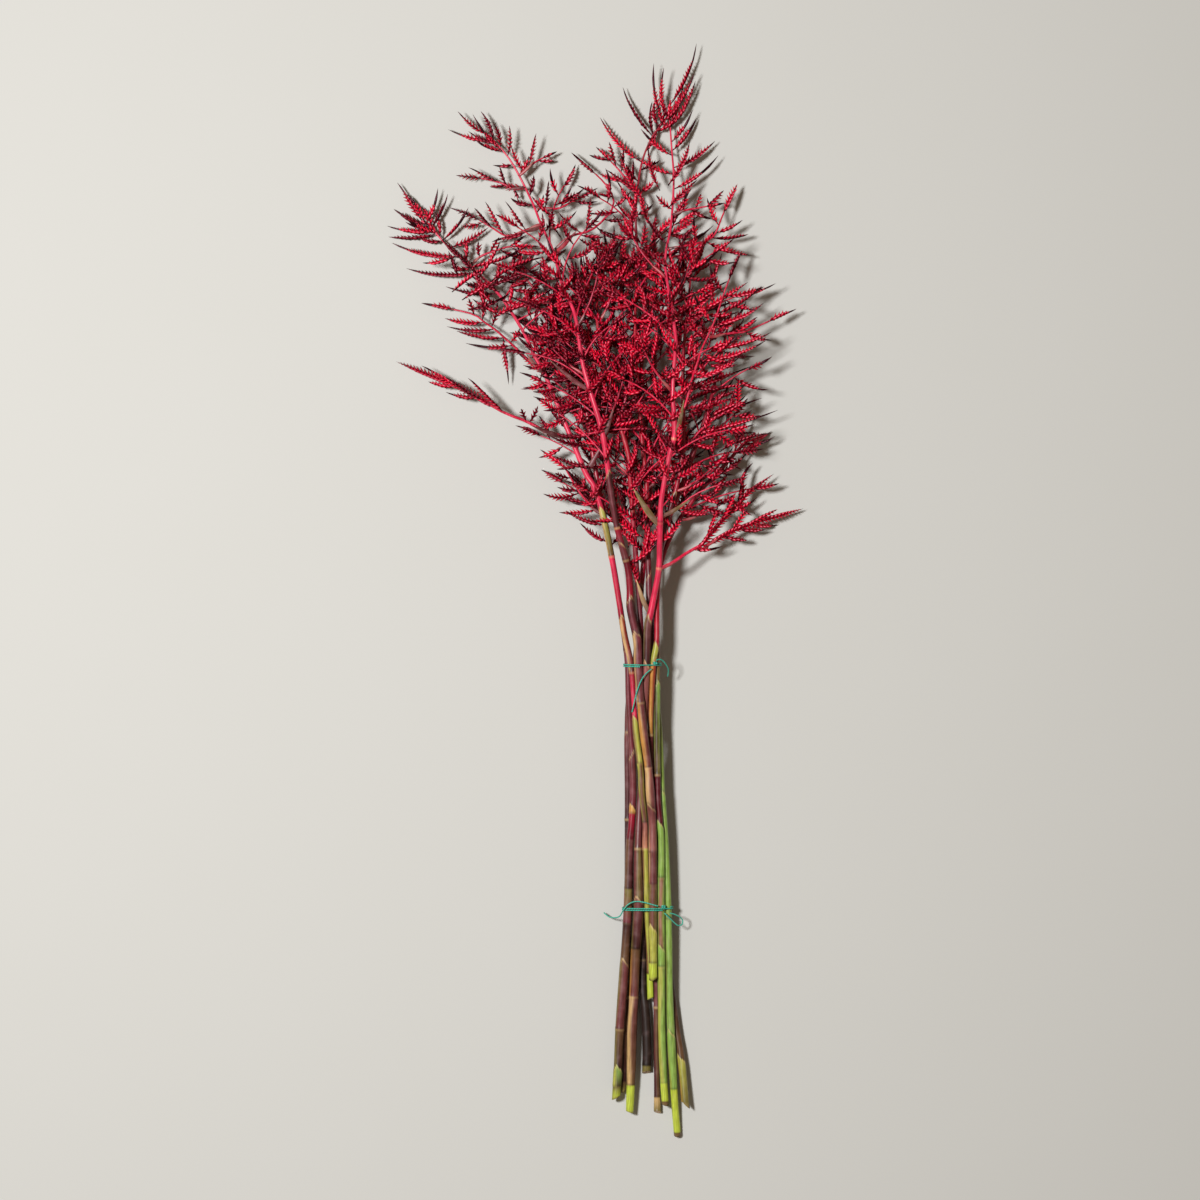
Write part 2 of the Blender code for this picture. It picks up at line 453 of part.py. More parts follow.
def spike_path(foot, tip, half_width):
    """Middle points and half widths of a spike: stalk, widest place, slender tip."""
    long = np.linalg.norm(tip - foot)
    side = unit(np.cross(tip - foot, (0, 0, 1)))
    bow = side * long * 0.035 * (1 if tip[0] > foot[0] else -1)
    shares = (0.0, 0.12, 0.38, 0.7, 1.0) if long > LONG_SPIKE else (0.0, 0.12, 0.42, 1.0)
    widths = (0.5, 0.55, 1.0, 0.62, 0.0) if long > LONG_SPIKE else (0.5, 0.55, 1.0, 0.0)
    middles = [foot + (tip - foot) * f + bow * 4 * f * (1 - f) for f in shares]
    return np.array(middles), np.array(widths) * half_width


def place_spike(room, owner, foot, tip, half_width, half_height):
    """Finds a free rise for a spike and takes its room. None where there is no room at all."""
    reach = max(half_width, half_height) + 0.15
    for share in (1.0, 0.85, 0.7):
        for rise in RISES:
            end = foot + (tip - foot) * share + np.array([0, 0, rise])
            end[2] = max(end[2], 0.0)
            if np.linalg.norm(end - foot) < 10:
                continue
            middles, widths = spike_path(foot, end, 1.0)
            rods = widths * reach
            if (middles[:-1, 2] < rods[:-1] + 0.1).any():
                continue
            if room.is_free(middles[1:], rods[1:], near=(owner,)):
                room.take(owner, middles[1:], rods[1:])
                return {"middles": middles, "widths": widths, "half": (half_width, half_height)}
    return None


def leave_stem(line, points, radius):
    """The branch's line, starting clear of its stem's side."""
    points = np.array(points, float)
    s = nearest_length(line, points[0, 0], points[0, 1])
    base = at_length(line, s)
    along = unit(at_length(line, s + 3)[:3] - at_length(line, s - 3)[:3])
    points[0] = base[:3]
    out = unit(points[1] - points[0])
    cosine = abs(out @ along)
    sine = max(math.sqrt(1 - cosine * cosine), 0.35)
    start = points[0] + out * (base[3] + radius * cosine + STALK_GAP) / sine
    keep = [p for p in points[1:] if (p - start) @ out > 2.0]
    return np.vstack([start, keep])


def place_branch(room, stem, name, points):
    """Lays a branch in free room, bending it up or down as little as that takes."""
    for rise in RISES:
        moved = points.copy()
        moved[:, 2] += rise * np.clip(lengths(points) / 45.0, 0, 1)
        moved[:, 2] = np.maximum(moved[:, 2], 3.0)
        line = smooth(moved, 4)
        coarse = line[::4]
        rods = np.full(len(coarse), BRANCH_RADIUS + 0.1)
        if room.is_free(coarse, rods, near=(stem,)):
            break
    room.take(name, coarse, rods)
    return line


def grown_route(line, y, side, long, rise, random):
    """A side branch that leaves its stem at a slant and bends towards the stem's own direction."""
    base, along, _ = stem_at(line, y)
    heading = math.atan2(along[1], along[0]) - side * math.radians(random.uniform(42, 54))
    points = [base]
    for k in range(6):
        step = long / 6
        bend = side * math.radians(random.uniform(3, 7))
        heading += bend
        last = points[-1]
        points.append(
            last + np.array([math.cos(heading) * step, math.sin(heading) * step, rise / 6])
        )
    return np.array(points)


def grown_spikes(line, random):
    """Feet and tips of a grown branch's spikes, left and right in turn."""
    whole = lengths(line)[-1]
    found = []
    side = 1 if random.random() > 0.5 else -1
    for share in GROWN_FEET:
        foot = at_length(line, share * whole)
        ahead = unit(at_length(line, share * whole + 3) - foot)
        turn = side * math.radians(random.uniform(34, 46))
        long = random.uniform(30, 44) * (1.12 - 0.35 * share)
        out = np.array([
            ahead[0] * math.cos(turn) - ahead[1] * math.sin(turn),
            ahead[0] * math.sin(turn) + ahead[1] * math.cos(turn),
            random.uniform(-0.3, 0.3),
        ])
        found.append((foot, foot + unit(out) * long))
        side = -side
    return found


def lay_out():
    """Every stem, branch and spike of the bunch, each in room of its own."""
    random = np.random.default_rng(7)
    stems = lay_side_by_side()
    room = Room()
    for name, line in stems.items():
        room.take(name, line, line[:, 3])
    shoots = {
        name: {"line": line[:, :3], "radii": line[:, 3], "spikes": []}
        for name, line in stems.items()
    }
    counts = dict.fromkeys(stems, 0)

    def add_branch(stem, points, spikes):
        counts[stem] += 1
        name = f"{stem}_branch_{counts[stem]}"
        line = place_branch(room, stem, name, points)
        shoots[name] = {"line": line, "radii": None, "spikes": []}
        for foot_xy, tip_xy, rise in spikes:
            s = nearest_length(line, *foot_xy)
            foot = at_length(line, s)
            tip = np.array([*tip_xy, foot[2] + rise])
            add_spike(name, s, foot, tip, SPIKE_HALF_WIDTH, SPIKE_HALF_HEIGHT)

    def add_spike(owner, s, foot, tip, half_width, half_height):
        spike = place_spike(room, owner, foot, tip, half_width, half_height)
        if spike:
            shoots[owner]["spikes"].append({"s": s, **spike})

    for table in (BRANCHES, FORKS):
        for stem, route, spikes in table:
            points = drooped(route)
            if table is BRANCHES:
                points = leave_stem(stems[stem], points, BRANCH_RADIUS)
            add_branch(stem, points, [((a, b), (c, d), e) for a, b, c, d, e in spikes])
    for stem, bracts in BRACTS.items():
        for x, y, tip_x, tip_y, rise in bracts:
            s = nearest_length(stems[stem], x, y)
            foot = at_length(stems[stem], s)[:3]
            tip = np.array([tip_x, tip_y, foot[2] + rise])
            add_spike(stem, s, foot, tip, BRACT_HALF_WIDTH, BRACT_HALF_HEIGHT)
    for stem, spikes in STEM_SPIKES.items():
        for x, y, tip_x, tip_y, rise in spikes:
            s = nearest_length(stems[stem], x, y)
            foot = at_length(stems[stem], s)[:3]
            tip = np.array([tip_x, tip_y, foot[2] + rise])
            add_spike(stem, s, foot, tip, SPIKE_HALF_WIDTH, SPIKE_HALF_HEIGHT)
    for stem, y, side, long, rise in GROWN:
        route = grown_route(stems[stem], y, side, long, rise, random)
        points = leave_stem(stems[stem], route, BRANCH_RADIUS)
        line = smooth(points, 4)
        spikes = [
            (tuple(foot[:2]), tuple(tip[:2]), tip[2] - foot[2])
            for foot, tip in grown_spikes(line, random)
        ]
        add_branch(stem, points, spikes)
    return shoots


# ---- solids ---------------------------------------------------------------------------------


def frame_at(line, s):
    """Middle, direction, sideways and upward axes of a line at a length along it."""
    whole = lengths(line)[-1]
    middle = at_length(line, s)
    along = unit(at_length(line, min(s + 2, whole)) - at_length(line, max(s - 2, 0)))
    side = unit(np.cross(along, (0, 0, 1)))
    return middle, along, side, np.cross(side, along)


def ring_places(spikes, whole, half, widest_gap, tied):
    """Rings along a shoot: a close pair at each spike's foot, one in each tie, others between."""
    pairs = []
    for spike in sorted(spikes, key=lambda spike: spike["s"]):
        s = min(max(spike["s"], half + 0.6), whole - half - 1.5)
        for pair in pairs:
            if abs(pair["s"] - s) < 2 * half + 0.5:
                if spike["side"] not in pair["sides"]:
                    break
                s = pair["s"] + 2 * half + 0.5
        else:
            pair = {"s": s, "sides": {}}
            pairs.append(pair)
        pair["sides"][spike["side"]] = spike
    pairs.sort(key=lambda pair: pair["s"])
    wanted = sorted(tied + [pair["s"] + way * half for pair in pairs for way in (-1, 1)]) + [whole]
    places = [0.0]
    for place in wanted:
        last, count = places[-1], math.ceil((place - places[-1]) / widest_gap)
        places += [last + (place - last) * k / count for k in range(1, count)] + [place]
    for pair in pairs:
        pair["first"] = places.index(pair["s"] - half)
    return places[:-1], pairs


def shoot_mesh(line, radius_at, spikes, half, widest_gap, tied=()):
    """One closed mesh: a tapering many-sided stalk with its spikes pulled out of its side faces."""
    whole = lengths(line)[-1]
    for spike in spikes:
        middle, _, side, _ = frame_at(line, spike["s"])
        spike["side"] = 1 if (spike["middles"][-1] - middle) @ side > 0 else -1
    places, pairs = ring_places(spikes, whole, half, widest_gap, list(tied))
    corners, faces, rings = [], [], []
    for s in places:
        middle, _, side, up = frame_at(line, s)
        size = radius_at(s)
        round_one = size > THIN_STALK
        angles = ROUND_SECTION if round_one else FLAT_SECTION
        ring = []
        for angle in angles:
            ring.append(len(corners) if angle is not None else None)
            if angle is not None:
                turn = math.radians(angle)
                corners.append(middle + size * (math.cos(turn) * side + math.sin(turn) * up))
        rings.append(ring)
    corners.append(line[-1])
    apex = len(corners) - 1
    used = {(pair["first"], side) for pair in pairs for side in pair["sides"]}
    for number, (near, far) in enumerate(zip(rings[:-1], rings[1:])):
        for side, (k, m) in FLATS.items():
            if (number, side) not in used:
                faces.append((near[k], near[m], far[m], far[k]))
        for k, m, n in ARCHES:
            if near[m] is not None and far[m] is not None:
                faces.append((near[k], near[m], far[m], far[k]))
                faces.append((near[m], near[n], far[n], far[m]))
            else:
                outline = (near[k], near[m], near[n], far[n], far[m], far[k])
                faces.append(tuple(corner for corner in outline if corner is not None))
    faces.append(tuple(corner for corner in rings[0] if corner is not None))
    last = [corner for corner in rings[-1] if corner is not None]
    faces += [(last[k], last[(k + 1) % len(last)], apex) for k in range(len(last))]
    for pair in pairs:
        for side, spike in pair["sides"].items():
            near, far = rings[pair["first"]], rings[pair["first"] + 1]
            k, m = FLATS[side] if side < 0 else FLATS[side][::-1]
            ring = [near[k], far[k], far[m], near[m]]
            _, along, _, _ = frame_at(line, pair["s"])
            middles, widths = spike["middles"], spike["widths"]
            for j in range(2, len(middles) - 1):
                out = unit(middles[j + 1] - middles[j - 1])
                across = unit(np.cross(out, (0, 0, 1)))
                if across @ along < 0:
                    across = -across
                up = np.cross(across, out)
                up = up if up[2] > 0 else -up
                wide = across * widths[j] * spike["half"][0]
                high = up * widths[j] * spike["half"][1]
                first = len(corners)
                middle = middles[j]
                corners += [middle - wide + high, middle + wide + high,
                            middle + wide - high, middle - wide - high]
                new = [first, first + 1, first + 2, first + 3]
                faces += [(ring[q], ring[(q + 1) % 4], new[(q + 1) % 4], new[q]) for q in range(4)]
                ring = new
            corners.append(middles[-1])
            tip = len(corners) - 1
            faces += [(ring[q], ring[(q + 1) % 4], tip) for q in range(4)]
    return corners, faces


def tube_mesh(points, radii, sides):
    """A closed tube along the points, with flat ends."""
    corners, faces = [], []
    for k, middle in enumerate(points):
        along = unit(points[min(k + 1, len(points) - 1)] - points[max(k - 1, 0)])
        side = unit(np.cross(along, (0, 1, 0.02)))
        up = np.cross(side, along)
        for q in range(sides):
            angle = math.pi / sides + 2 * math.pi * q / sides
            corners.append(middle + radii[k] * (math.cos(angle) * side + math.sin(angle) * up))
    for ring in range(len(points) - 1):
        for q in range(sides):
            a, b = ring * sides + q, ring * sides + (q + 1) % sides
            faces.append((a, b, b + sides, a + sides))
    faces += [tuple(range(sides)), tuple(range(len(corners) - sides, len(corners)))]
    return corners, faces


def tie_route(stems, y, knot_x, turns, pitch):
    """Points and radii of a string wound tightly round the stalks, ending in its knot on top."""
    slices = [stem_at(line, y) + (line[0, 1],) for line in stems.values()]
    stalks = [(m[0], m[2], r + TIE_GAP + STRING_RADIUS) for m, _, r, end in slices if end < y]

    def outermost(angle):
        """The stalk that reaches furthest this way, and the string's place on it."""
        out = np.array([math.cos(angle), 0, math.sin(angle)])
        k = int(np.argmax([x * out[0] + z * out[2] + reach for x, z, reach in stalks]))
        x, z, reach = stalks[k]
        return k, np.array([x, y, z]) + out * reach

    angles = np.arange(TIE_STEPS) * 2 * math.pi / TIE_STEPS
    knot_angle = next(a for a in angles if math.sin(a) > 0 and outermost(a)[1][0] <= knot_x)
    steps = turns * TIE_STEPS
    touched, places = [], []
    for k in range(steps + 1):
        stalk, place = outermost(knot_angle + 2 * math.pi * k / TIE_STEPS)
        touched.append(stalk)
        places.append(place + np.array([0, pitch * (k / TIE_STEPS - turns / 2), 0]))
    points, since = [], 0
    for k in range(2, steps):
        since += 1
        if touched[k] != touched[k - 1] or touched[k] != touched[k + 1] or since >= TIE_STEPS // 9:
            points.append(places[k])
            since = 0
    out = np.array([math.cos(knot_angle), 0, math.sin(knot_angle)])
    onward = np.array([-out[2], 0, out[0]])
    end = places[-1]
    radii = [STRING_RADIUS] * len(points)
    points += [end - 1.6 * onward + 0.7 * out, end - 0.6 * onward + out, end + 0.9 * onward + out,
               end + 1.9 * onward + 0.9 * out]
    radii += [0.75 * KNOT_RADIUS, KNOT_RADIUS, KNOT_RADIUS, 0.6 * KNOT_RADIUS]
    return points, radii


# ---- objects --------------------------------------------------------------------------------


def finish_for(name, colour, roughness):
    material = bpy.data.materials.new(name + "_finish")
    material.use_nodes = True
    shader = material.node_tree.nodes["Principled BSDF"]
    shader.inputs["Base Color"].default_value = (*colour, 1)
    shader.inputs["Roughness"].default_value = roughness
    shader.inputs["Metallic"].default_value = 0
    material.diffuse_color = (*colour, 1)
    return material


def add_object(name, data, colour, roughness):
    obj = bpy.data.objects.new(name, data)
    bpy.context.scene.collection.objects.link(obj)
    data.materials.append(finish_for(name, colour, roughness))
    return obj


def add_solid(name, corners, faces, colour, roughness=0.5):
    mesh = bpy.data.meshes.new(name)
    mesh.from_pydata([tuple(corner * MM) for corner in corners], [], faces)
    shell = bmesh.new()
    shell.from_mesh(mesh)
    bmesh.ops.recalc_face_normals(shell, faces=shell.faces)
    shell.to_mesh(mesh)
    shell.free()
    mesh.shade_smooth()
    mesh.set_sharp_from_angle(angle=math.radians(50))
    return add_object(name, mesh, colour, roughness)


def add_string(name, route):
    """A tail of string as a curve with a round bevel, a point every three diameters."""
    line = smooth(route, 12)
    count = max(6, round(lengths(line)[-1] / (6.0 * STRING_RADIUS)))
    curve = bpy.data.curves.new(name, "CURVE")
    curve.dimensions = "3D"
    curve.bevel_depth = STRING_RADIUS * MM
    curve.bevel_resolution = 2
    curve.use_fill_caps = True
    spline = curve.splines.new("POLY")
    spline.points.add(count - 1)
    for k, point in enumerate(spline.points):
        point.co = (*(at_length(line, lengths(line)[-1] * k / (count - 1)) * MM), 1)
    return add_object(name, curve, STRING_COLOUR, 0.6)


def branch_radius(whole):
    """Radius along a branch: a tapering stalk, then the swelling and the point of its last spike."""
    last = min(LAST_SPIKE_LENGTH, 0.4 * whole)

    def radius(s):
        left = whole - s
        if left > last:
            return BRANCH_RADIUS + (BRANCH_TIP_RADIUS - BRANCH_RADIUS) * s / whole
        return np.interp(left, (0, 0.3 * last, 0.65 * last, last), (0.3, 1.1, 1.6, BRANCH_TIP_RADIUS))

    return radius


def make_bunch():
    shoots = lay_out()
    for name, shoot in shoots.items():
        line = shoot["line"]
        if shoot["radii"] is not None:
            along = lengths(line)
            radius_at = lambda s, along=along, radii=shoot["radii"]: np.interp(s, along, radii)
            tied = [np.interp(tie[0], line[:, 1], along) for tie in TIES.values() if tie[0] > line[0, 1]]
            mesh = shoot_mesh(line, radius_at, shoot["spikes"], STEM_FOOT, STEM_RINGS, tied)
            add_solid(name, *mesh, STALK_COLOURS[name])
        else:
            radius_at = branch_radius(lengths(line)[-1])
            mesh = shoot_mesh(line, radius_at, shoot["spikes"], BRANCH_FOOT, BRANCH_RINGS)
            add_solid(name, *mesh, FLOWER_COLOUR)


def make_string():
    stems = lay_side_by_side()
    for name, (y, knot_x, turns, pitch) in TIES.items():
        points, radii = tie_route(stems, y, knot_x, turns, pitch)
        add_solid(name, *tube_mesh(points, radii, 4), STRING_COLOUR)
    for name, route in TAILS.items():
        add_string(name, route)


def main():
    for obj in list(bpy.data.objects):
        bpy.data.objects.remove(obj, do_unlink=True)
    make_bunch()
    make_string()


main()
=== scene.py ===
"""The looks of a bunch of ten cut bromeliad flower stems, tied twice with thin green string.

Tables, points and measures are in millimetres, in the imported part's own frame. The finished meshes
and the sizes that a user may change are in metres.
"""

import functools
import math
import typing

import bpy
import numpy as np
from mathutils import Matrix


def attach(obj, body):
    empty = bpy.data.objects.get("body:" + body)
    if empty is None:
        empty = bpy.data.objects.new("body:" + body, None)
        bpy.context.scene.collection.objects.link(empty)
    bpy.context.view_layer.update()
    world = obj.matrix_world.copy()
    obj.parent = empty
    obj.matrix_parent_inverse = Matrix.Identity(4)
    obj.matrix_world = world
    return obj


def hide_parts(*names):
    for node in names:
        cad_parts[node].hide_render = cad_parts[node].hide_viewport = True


bl_info = {
    "name": "Bromeliad stem bunch",
    "version": (1, 0, 0),
    "blender": (4, 5, 0),
    "location": "View3D > Sidebar > Stem bunch",
    "description": "Builds a tied bunch of cut bromeliad flower stems around its packed solids",
    "category": "Object",
}

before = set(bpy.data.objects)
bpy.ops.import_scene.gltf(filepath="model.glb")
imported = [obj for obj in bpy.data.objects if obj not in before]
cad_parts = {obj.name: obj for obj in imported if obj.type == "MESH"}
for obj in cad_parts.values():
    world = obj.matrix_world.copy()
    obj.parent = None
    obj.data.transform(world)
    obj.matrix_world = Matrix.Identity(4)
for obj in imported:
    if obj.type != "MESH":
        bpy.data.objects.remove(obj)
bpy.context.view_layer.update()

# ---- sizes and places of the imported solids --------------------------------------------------

MM = 0.001
UP = np.array([0.0, 0.0, 1.0])
GAP = 0.35  # kept between any two pieces
STALK_GAP = 0.65  # kept between the smooth lines of two stalks, whose facets cut across the bends
ROD_SPARE = 0.15  # added round a spike where its room is looked for
SPIKE_HALF_WIDTH = 1.9
BRACT_HALF_WIDTH = 2.9
BRANCH_RADIUS = 1.25
LONG_SPIKE = 56.0
SHORTEST_SPIKE = 10.0
SPIKE_BOW = 0.035  # how far a spike is bent, as a share of its length
STRING_RADIUS = 0.65
KNOT_STRING_RADIUS = 0.62
TIE_STEPS = 144
TIE_GAP = 0.5

# Stations along the tied stalks, where they are laid side by side. Each turn pushes apart the
# stalks that are too near, and the first turns also even out the shifts along each stalk.
STATIONS = np.arange(-550.0, 131.0, 10.0)
SETTLING_TURNS = 260
EVENING_TURNS = 200
# The outer flowers hang down: how far out of the middle a point is, and what is left of its height.
DROOP_MIDDLE = (45.0, 170.0)
DROOP_AWAY = (30.0, 75.0, 220.0)
DROOP_LEFT = (1.0, 0.86, 0.3)
DROOP_BEGINS = 80.0
# How far a spike or a branch may be raised or lowered to find free room, in the order tried.
RISES = (0, 4, -4, 8, -8, 12, -12, 16, -16, 21, -21, 27, -27)
# Spikes of a grown branch: their feet as shares of its length.
GROWN_FEET = (0.28, 0.46, 0.62, 0.78)
GROWN_STEPS = 6
GROWN_ANGLES = (42, 54)  # at which a grown branch leaves its stem, in degrees
GROWN_BENDS = (3, 7)  # and how far it bends back at each step
GROWN_SPIKE_ANGLES = (34, 46)
GROWN_SPIKE_LENGTHS = (30, 44)
LOWEST_BRANCH = 3.0
RISE_REACH = 45.0  # a branch is raised or lowered in full from this length outwards

# Each stem from its cut end to the top of its flower head: x, y, height, radius.
STEMS = {
    "stem_a": (
        (56, -411, 13, 3.2), (55, -365, 15, 3.0), (53, -319, 22, 2.9), (50, -259, 28, 2.9),
        (49.5, -233, 30, 2.6), (46.7, -205, 33, 3.0), (45.4, -177, 35, 2.9), (41.5, -145, 38, 3.1),
        (39, -110, 40, 2.5), (36, -74, 42, 2.8), (29, -42, 44, 2.9), (22, 2, 47, 3.0),
        (17, 31, 50, 2.9), (8, 74, 54, 2.9), (-1, 103, 58, 2.8), (-9, 116, 59, 2.7),
        (-24, 152, 62, 2.6), (-40, 191, 63, 2.3), (-50, 215, 62, 2.1), (-60, 233, 61, 2.0),
        (-71, 257, 58, 1.9), (-92, 291, 52, 1.8), (-110, 311, 47, 1.7), (-126, 326, 43, 1.6),
        (-144, 342, 38, 1.5), (-163, 362, 32, 1.3), (-175, 372, 29, 1.1),
    ),
    "stem_b": (
        (58, -389.5, 21, 4.2), (57, -319, 24, 4.2), (57, -259, 29, 4.3), (57, -233, 31, 3.7),
        (55, -205, 34, 4.5), (53, -177, 36, 3.9), (48.5, -142, 39, 4.4), (46, -110, 41, 3.6),
        (43.5, -74, 44, 4.2), (42.5, -50, 46, 4.2), (36, -19, 49, 4.0), (35, 1, 51, 3.3),
        (33, 21, 54, 3.3), (27, 44, 57, 3.2), (21, 67, 61, 3.0), (15, 103, 66, 3.2),
        (13, 119, 69, 2.7), (7, 158, 75, 2.9), (-5, 198, 80, 2.6), (-13, 229, 83, 2.3),
        (-20, 274, 84, 2.2), (-32, 302, 82, 2.0), (-42, 339, 77, 1.9), (-54, 366, 72, 1.7),
        (-62, 387, 67, 1.6), (-76, 416, 60, 1.5), (-88, 436, 54, 1.3), (-103, 453, 49, 1.2),
        (-113, 462, 46, 1.0),
    ),
    "stem_c": (
        (35, -525, 10, 4.0), (36.3, -490, 12, 4.6), (37.3, -444, 14, 4.8), (39, -410, 16, 4.8),
        (41, -365, 19, 4.8), (44.2, -319, 24, 4.9), (43.8, -280, 27, 4.4), (44.2, -250, 28, 3.4),
        (46, -205, 27, 3.1), (49, -170, 29, 3.2), (50, -130, 34, 3.3), (51.5, -100, 39, 3.4),
        (52.5, -74, 43, 3.4), (53, -38, 46, 3.4), (56, -23, 48, 3.3), (60, -2, 51, 3.0),
        (64, 22, 56, 2.9), (64.5, 46, 61, 2.8), (65, 66, 66, 2.8), (66, 89, 71, 2.5),
        (73, 130, 79, 2.5), (79, 156, 84, 2.7), (77, 195, 89, 2.3), (79, 229, 92, 2.2),
        (80, 250, 92, 2.1), (75, 286, 89, 1.9), (70, 328, 82, 1.7), (76, 365, 73, 1.6),
        (79, 411, 60, 1.5), (77, 445, 50, 1.3), (75, 478, 41, 1.1), (76, 493, 37, 1.0),
    ),
    "stem_d": (
        (63, -526, 3.8, 3.8), (62.5, -500, 5, 3.0), (62, -444, 8, 3.0), (61.8, -390, 11, 3.0),
        (61, -319, 15, 3.0), (61, -259, 19, 3.0), (60, -205, 24, 3.0), (57, -150, 31, 2.8),
        (56, -110, 36, 2.7), (57.5, -74, 41, 2.7), (61, -53, 42, 2.6), (61.5, -30, 42, 2.6),
        (62, -4, 43, 2.6), (64, 20, 45, 2.5), (67, 50, 49, 2.5), (74, 78, 53, 2.4),
        (83, 110, 57, 2.3), (88, 150, 60, 2.2), (88, 190, 62, 2.1), (88, 230, 62, 1.9),
        (91, 270, 60, 1.7), (95, 305, 56, 1.5), (98, 335, 51, 1.2),
    ),
    "stem_e": (
        (70.7, -517, 11, 3.6), (69, -490, 12, 3.7), (67.5, -444, 14, 3.9), (67.3, -390, 17, 3.9),
        (66.2, -319, 23, 3.8), (66.8, -259, 27, 2.9), (65, -233, 28, 3.0), (62, -205, 29, 3.0),
        (60, -150, 31, 3.0), (61, -110, 33, 2.9), (61.5, -74, 35, 2.9), (61, -40, 35, 2.8),
        (62, -5, 36, 2.7), (64, 30, 39, 2.6), (72, 65, 42, 2.5), (85, 100, 45, 2.4),
        (98, 135, 48, 2.3), (108, 165, 48, 2.2), (117, 195, 46, 2.0), (124, 225, 43, 1.7),
        (131, 255, 39, 1.4), (137, 280, 35, 1.1),
    ),
    "stem_f": (
        (83.2, -549, 3.6, 3.6), (80, -510, 8, 3.8), (76.4, -444, 12, 3.9), (74.3, -390, 15, 3.4),
        (73, -319, 20, 3.3), (70, -259, 24, 3.1), (67, -205, 25, 3.0), (65, -150, 26, 2.9),
        (62, -110, 27, 2.8), (57, -74, 28, 2.8), (60, -40, 28, 2.7), (62, -5, 28, 2.7),
        (67, 30, 29, 2.6), (80, 62, 30, 2.4), (102, 95, 30, 2.2), (126, 121, 29, 2.0),
        (145, 142, 27, 1.7), (161, 158, 25, 1.3),
    ),
    "stem_g": (
        (91, -517, 12, 3.9), (86.5, -471, 10, 3.7), (82, -444, 9, 3.6), (76, -400, 11, 3.5),
        (68, -319, 15, 3.4), (65, -259, 18, 3.3), (60, -205, 21, 3.2), (56, -150, 25, 3.1),
        (54.5, -110, 29, 3.0), (54, -74, 34, 3.0), (55, -40, 36, 2.9), (54, 0, 37, 2.8),
        (53, 50, 38, 2.7), (52, 100, 41, 2.5), (47, 150, 43, 2.3), (44, 190, 45, 2.2),
        (41, 230, 46, 2.0), (40, 270, 46, 1.8), (41, 305, 43, 1.5), (38, 340, 39, 1.2),
    ),
    "stem_h": (
        (52, -486, 4.6, 4.6), (52.5, -460, 6, 5.0), (51, -425, 8, 4.6), (48, -390, 9, 4.2),
        (48, -319, 14, 3.9), (49, -259, 19, 3.6), (49, -205, 22, 3.4), (47, -150, 27, 3.1),
        (46.5, -110, 31, 3.0), (46.5, -74, 35, 3.0), (46, -40, 39, 2.9), (44, -10, 41, 2.8),
        (41, 30, 45, 2.7), (38, 70, 49, 2.6), (35, 113, 54, 2.5), (33, 136, 56, 2.5),
        (23, 170, 58, 2.3), (15, 200, 58, 2.2), (8, 230, 56, 2.0), (3, 260, 53, 1.9),
        (2, 290, 49, 1.7), (6, 320, 45, 1.4), (12, 348, 41, 1.1),
    ),
    "stem_i": (
        (21.5, -510, 11, 4.3), (23.5, -477, 12, 4.5), (25, -444, 13, 4.5), (29, -390, 16, 4.5),
        (33.6, -319, 22, 4.3), (35.5, -259, 26, 4.1), (37.8, -233, 28, 3.4), (38.7, -205, 29, 3.2),
        (38, -176, 31, 3.2), (36, -142, 33, 3.1), (34, -110, 35, 3.0), (33, -74, 37, 3.0),
        (29, -42, 37, 2.9), (22, 2, 38, 2.8), (16, 40, 39, 2.6), (9, 75, 40, 2.5),
        (3, 105, 41, 2.4), (-2, 135, 41, 2.3), (-7, 170, 40, 2.2), (-13, 200, 39, 2.1),
        (-24, 232, 37, 2.0), (-38, 265, 34, 1.8), (-54, 293, 31, 1.6), (-72, 316, 28, 1.3),
        (-86, 330, 26, 1.1),
    ),
    "stem_j": (
        (27.5, -504, 4, 4.0), (28.5, -460, 6, 4.0), (30, -420, 8, 4.0), (31.5, -390, 10, 3.9),
        (33, -319, 14, 3.7), (33, -259, 18, 3.4), (33, -205, 22, 3.1), (32.5, -150, 26, 3.0),
        (34, -110, 29, 3.0), (40, -74, 30, 3.0), (43, -40, 31, 2.9), (46, 0, 32, 2.8),
        (50, 40, 32, 2.7), (54, 80, 32, 2.6), (56, 127, 31, 2.4), (50, 155, 31, 2.3),
        (45, 185, 31, 2.2), (46, 220, 32, 2.1), (50, 255, 33, 2.0), (48, 300, 35, 1.9),
        (43, 340, 38, 1.8), (41, 380, 42, 1.7), (46, 425, 46, 1.5), (56, 453, 48, 1.3),
        (66, 468, 48, 1.2), (71, 484, 47, 1.0),
    ),
}

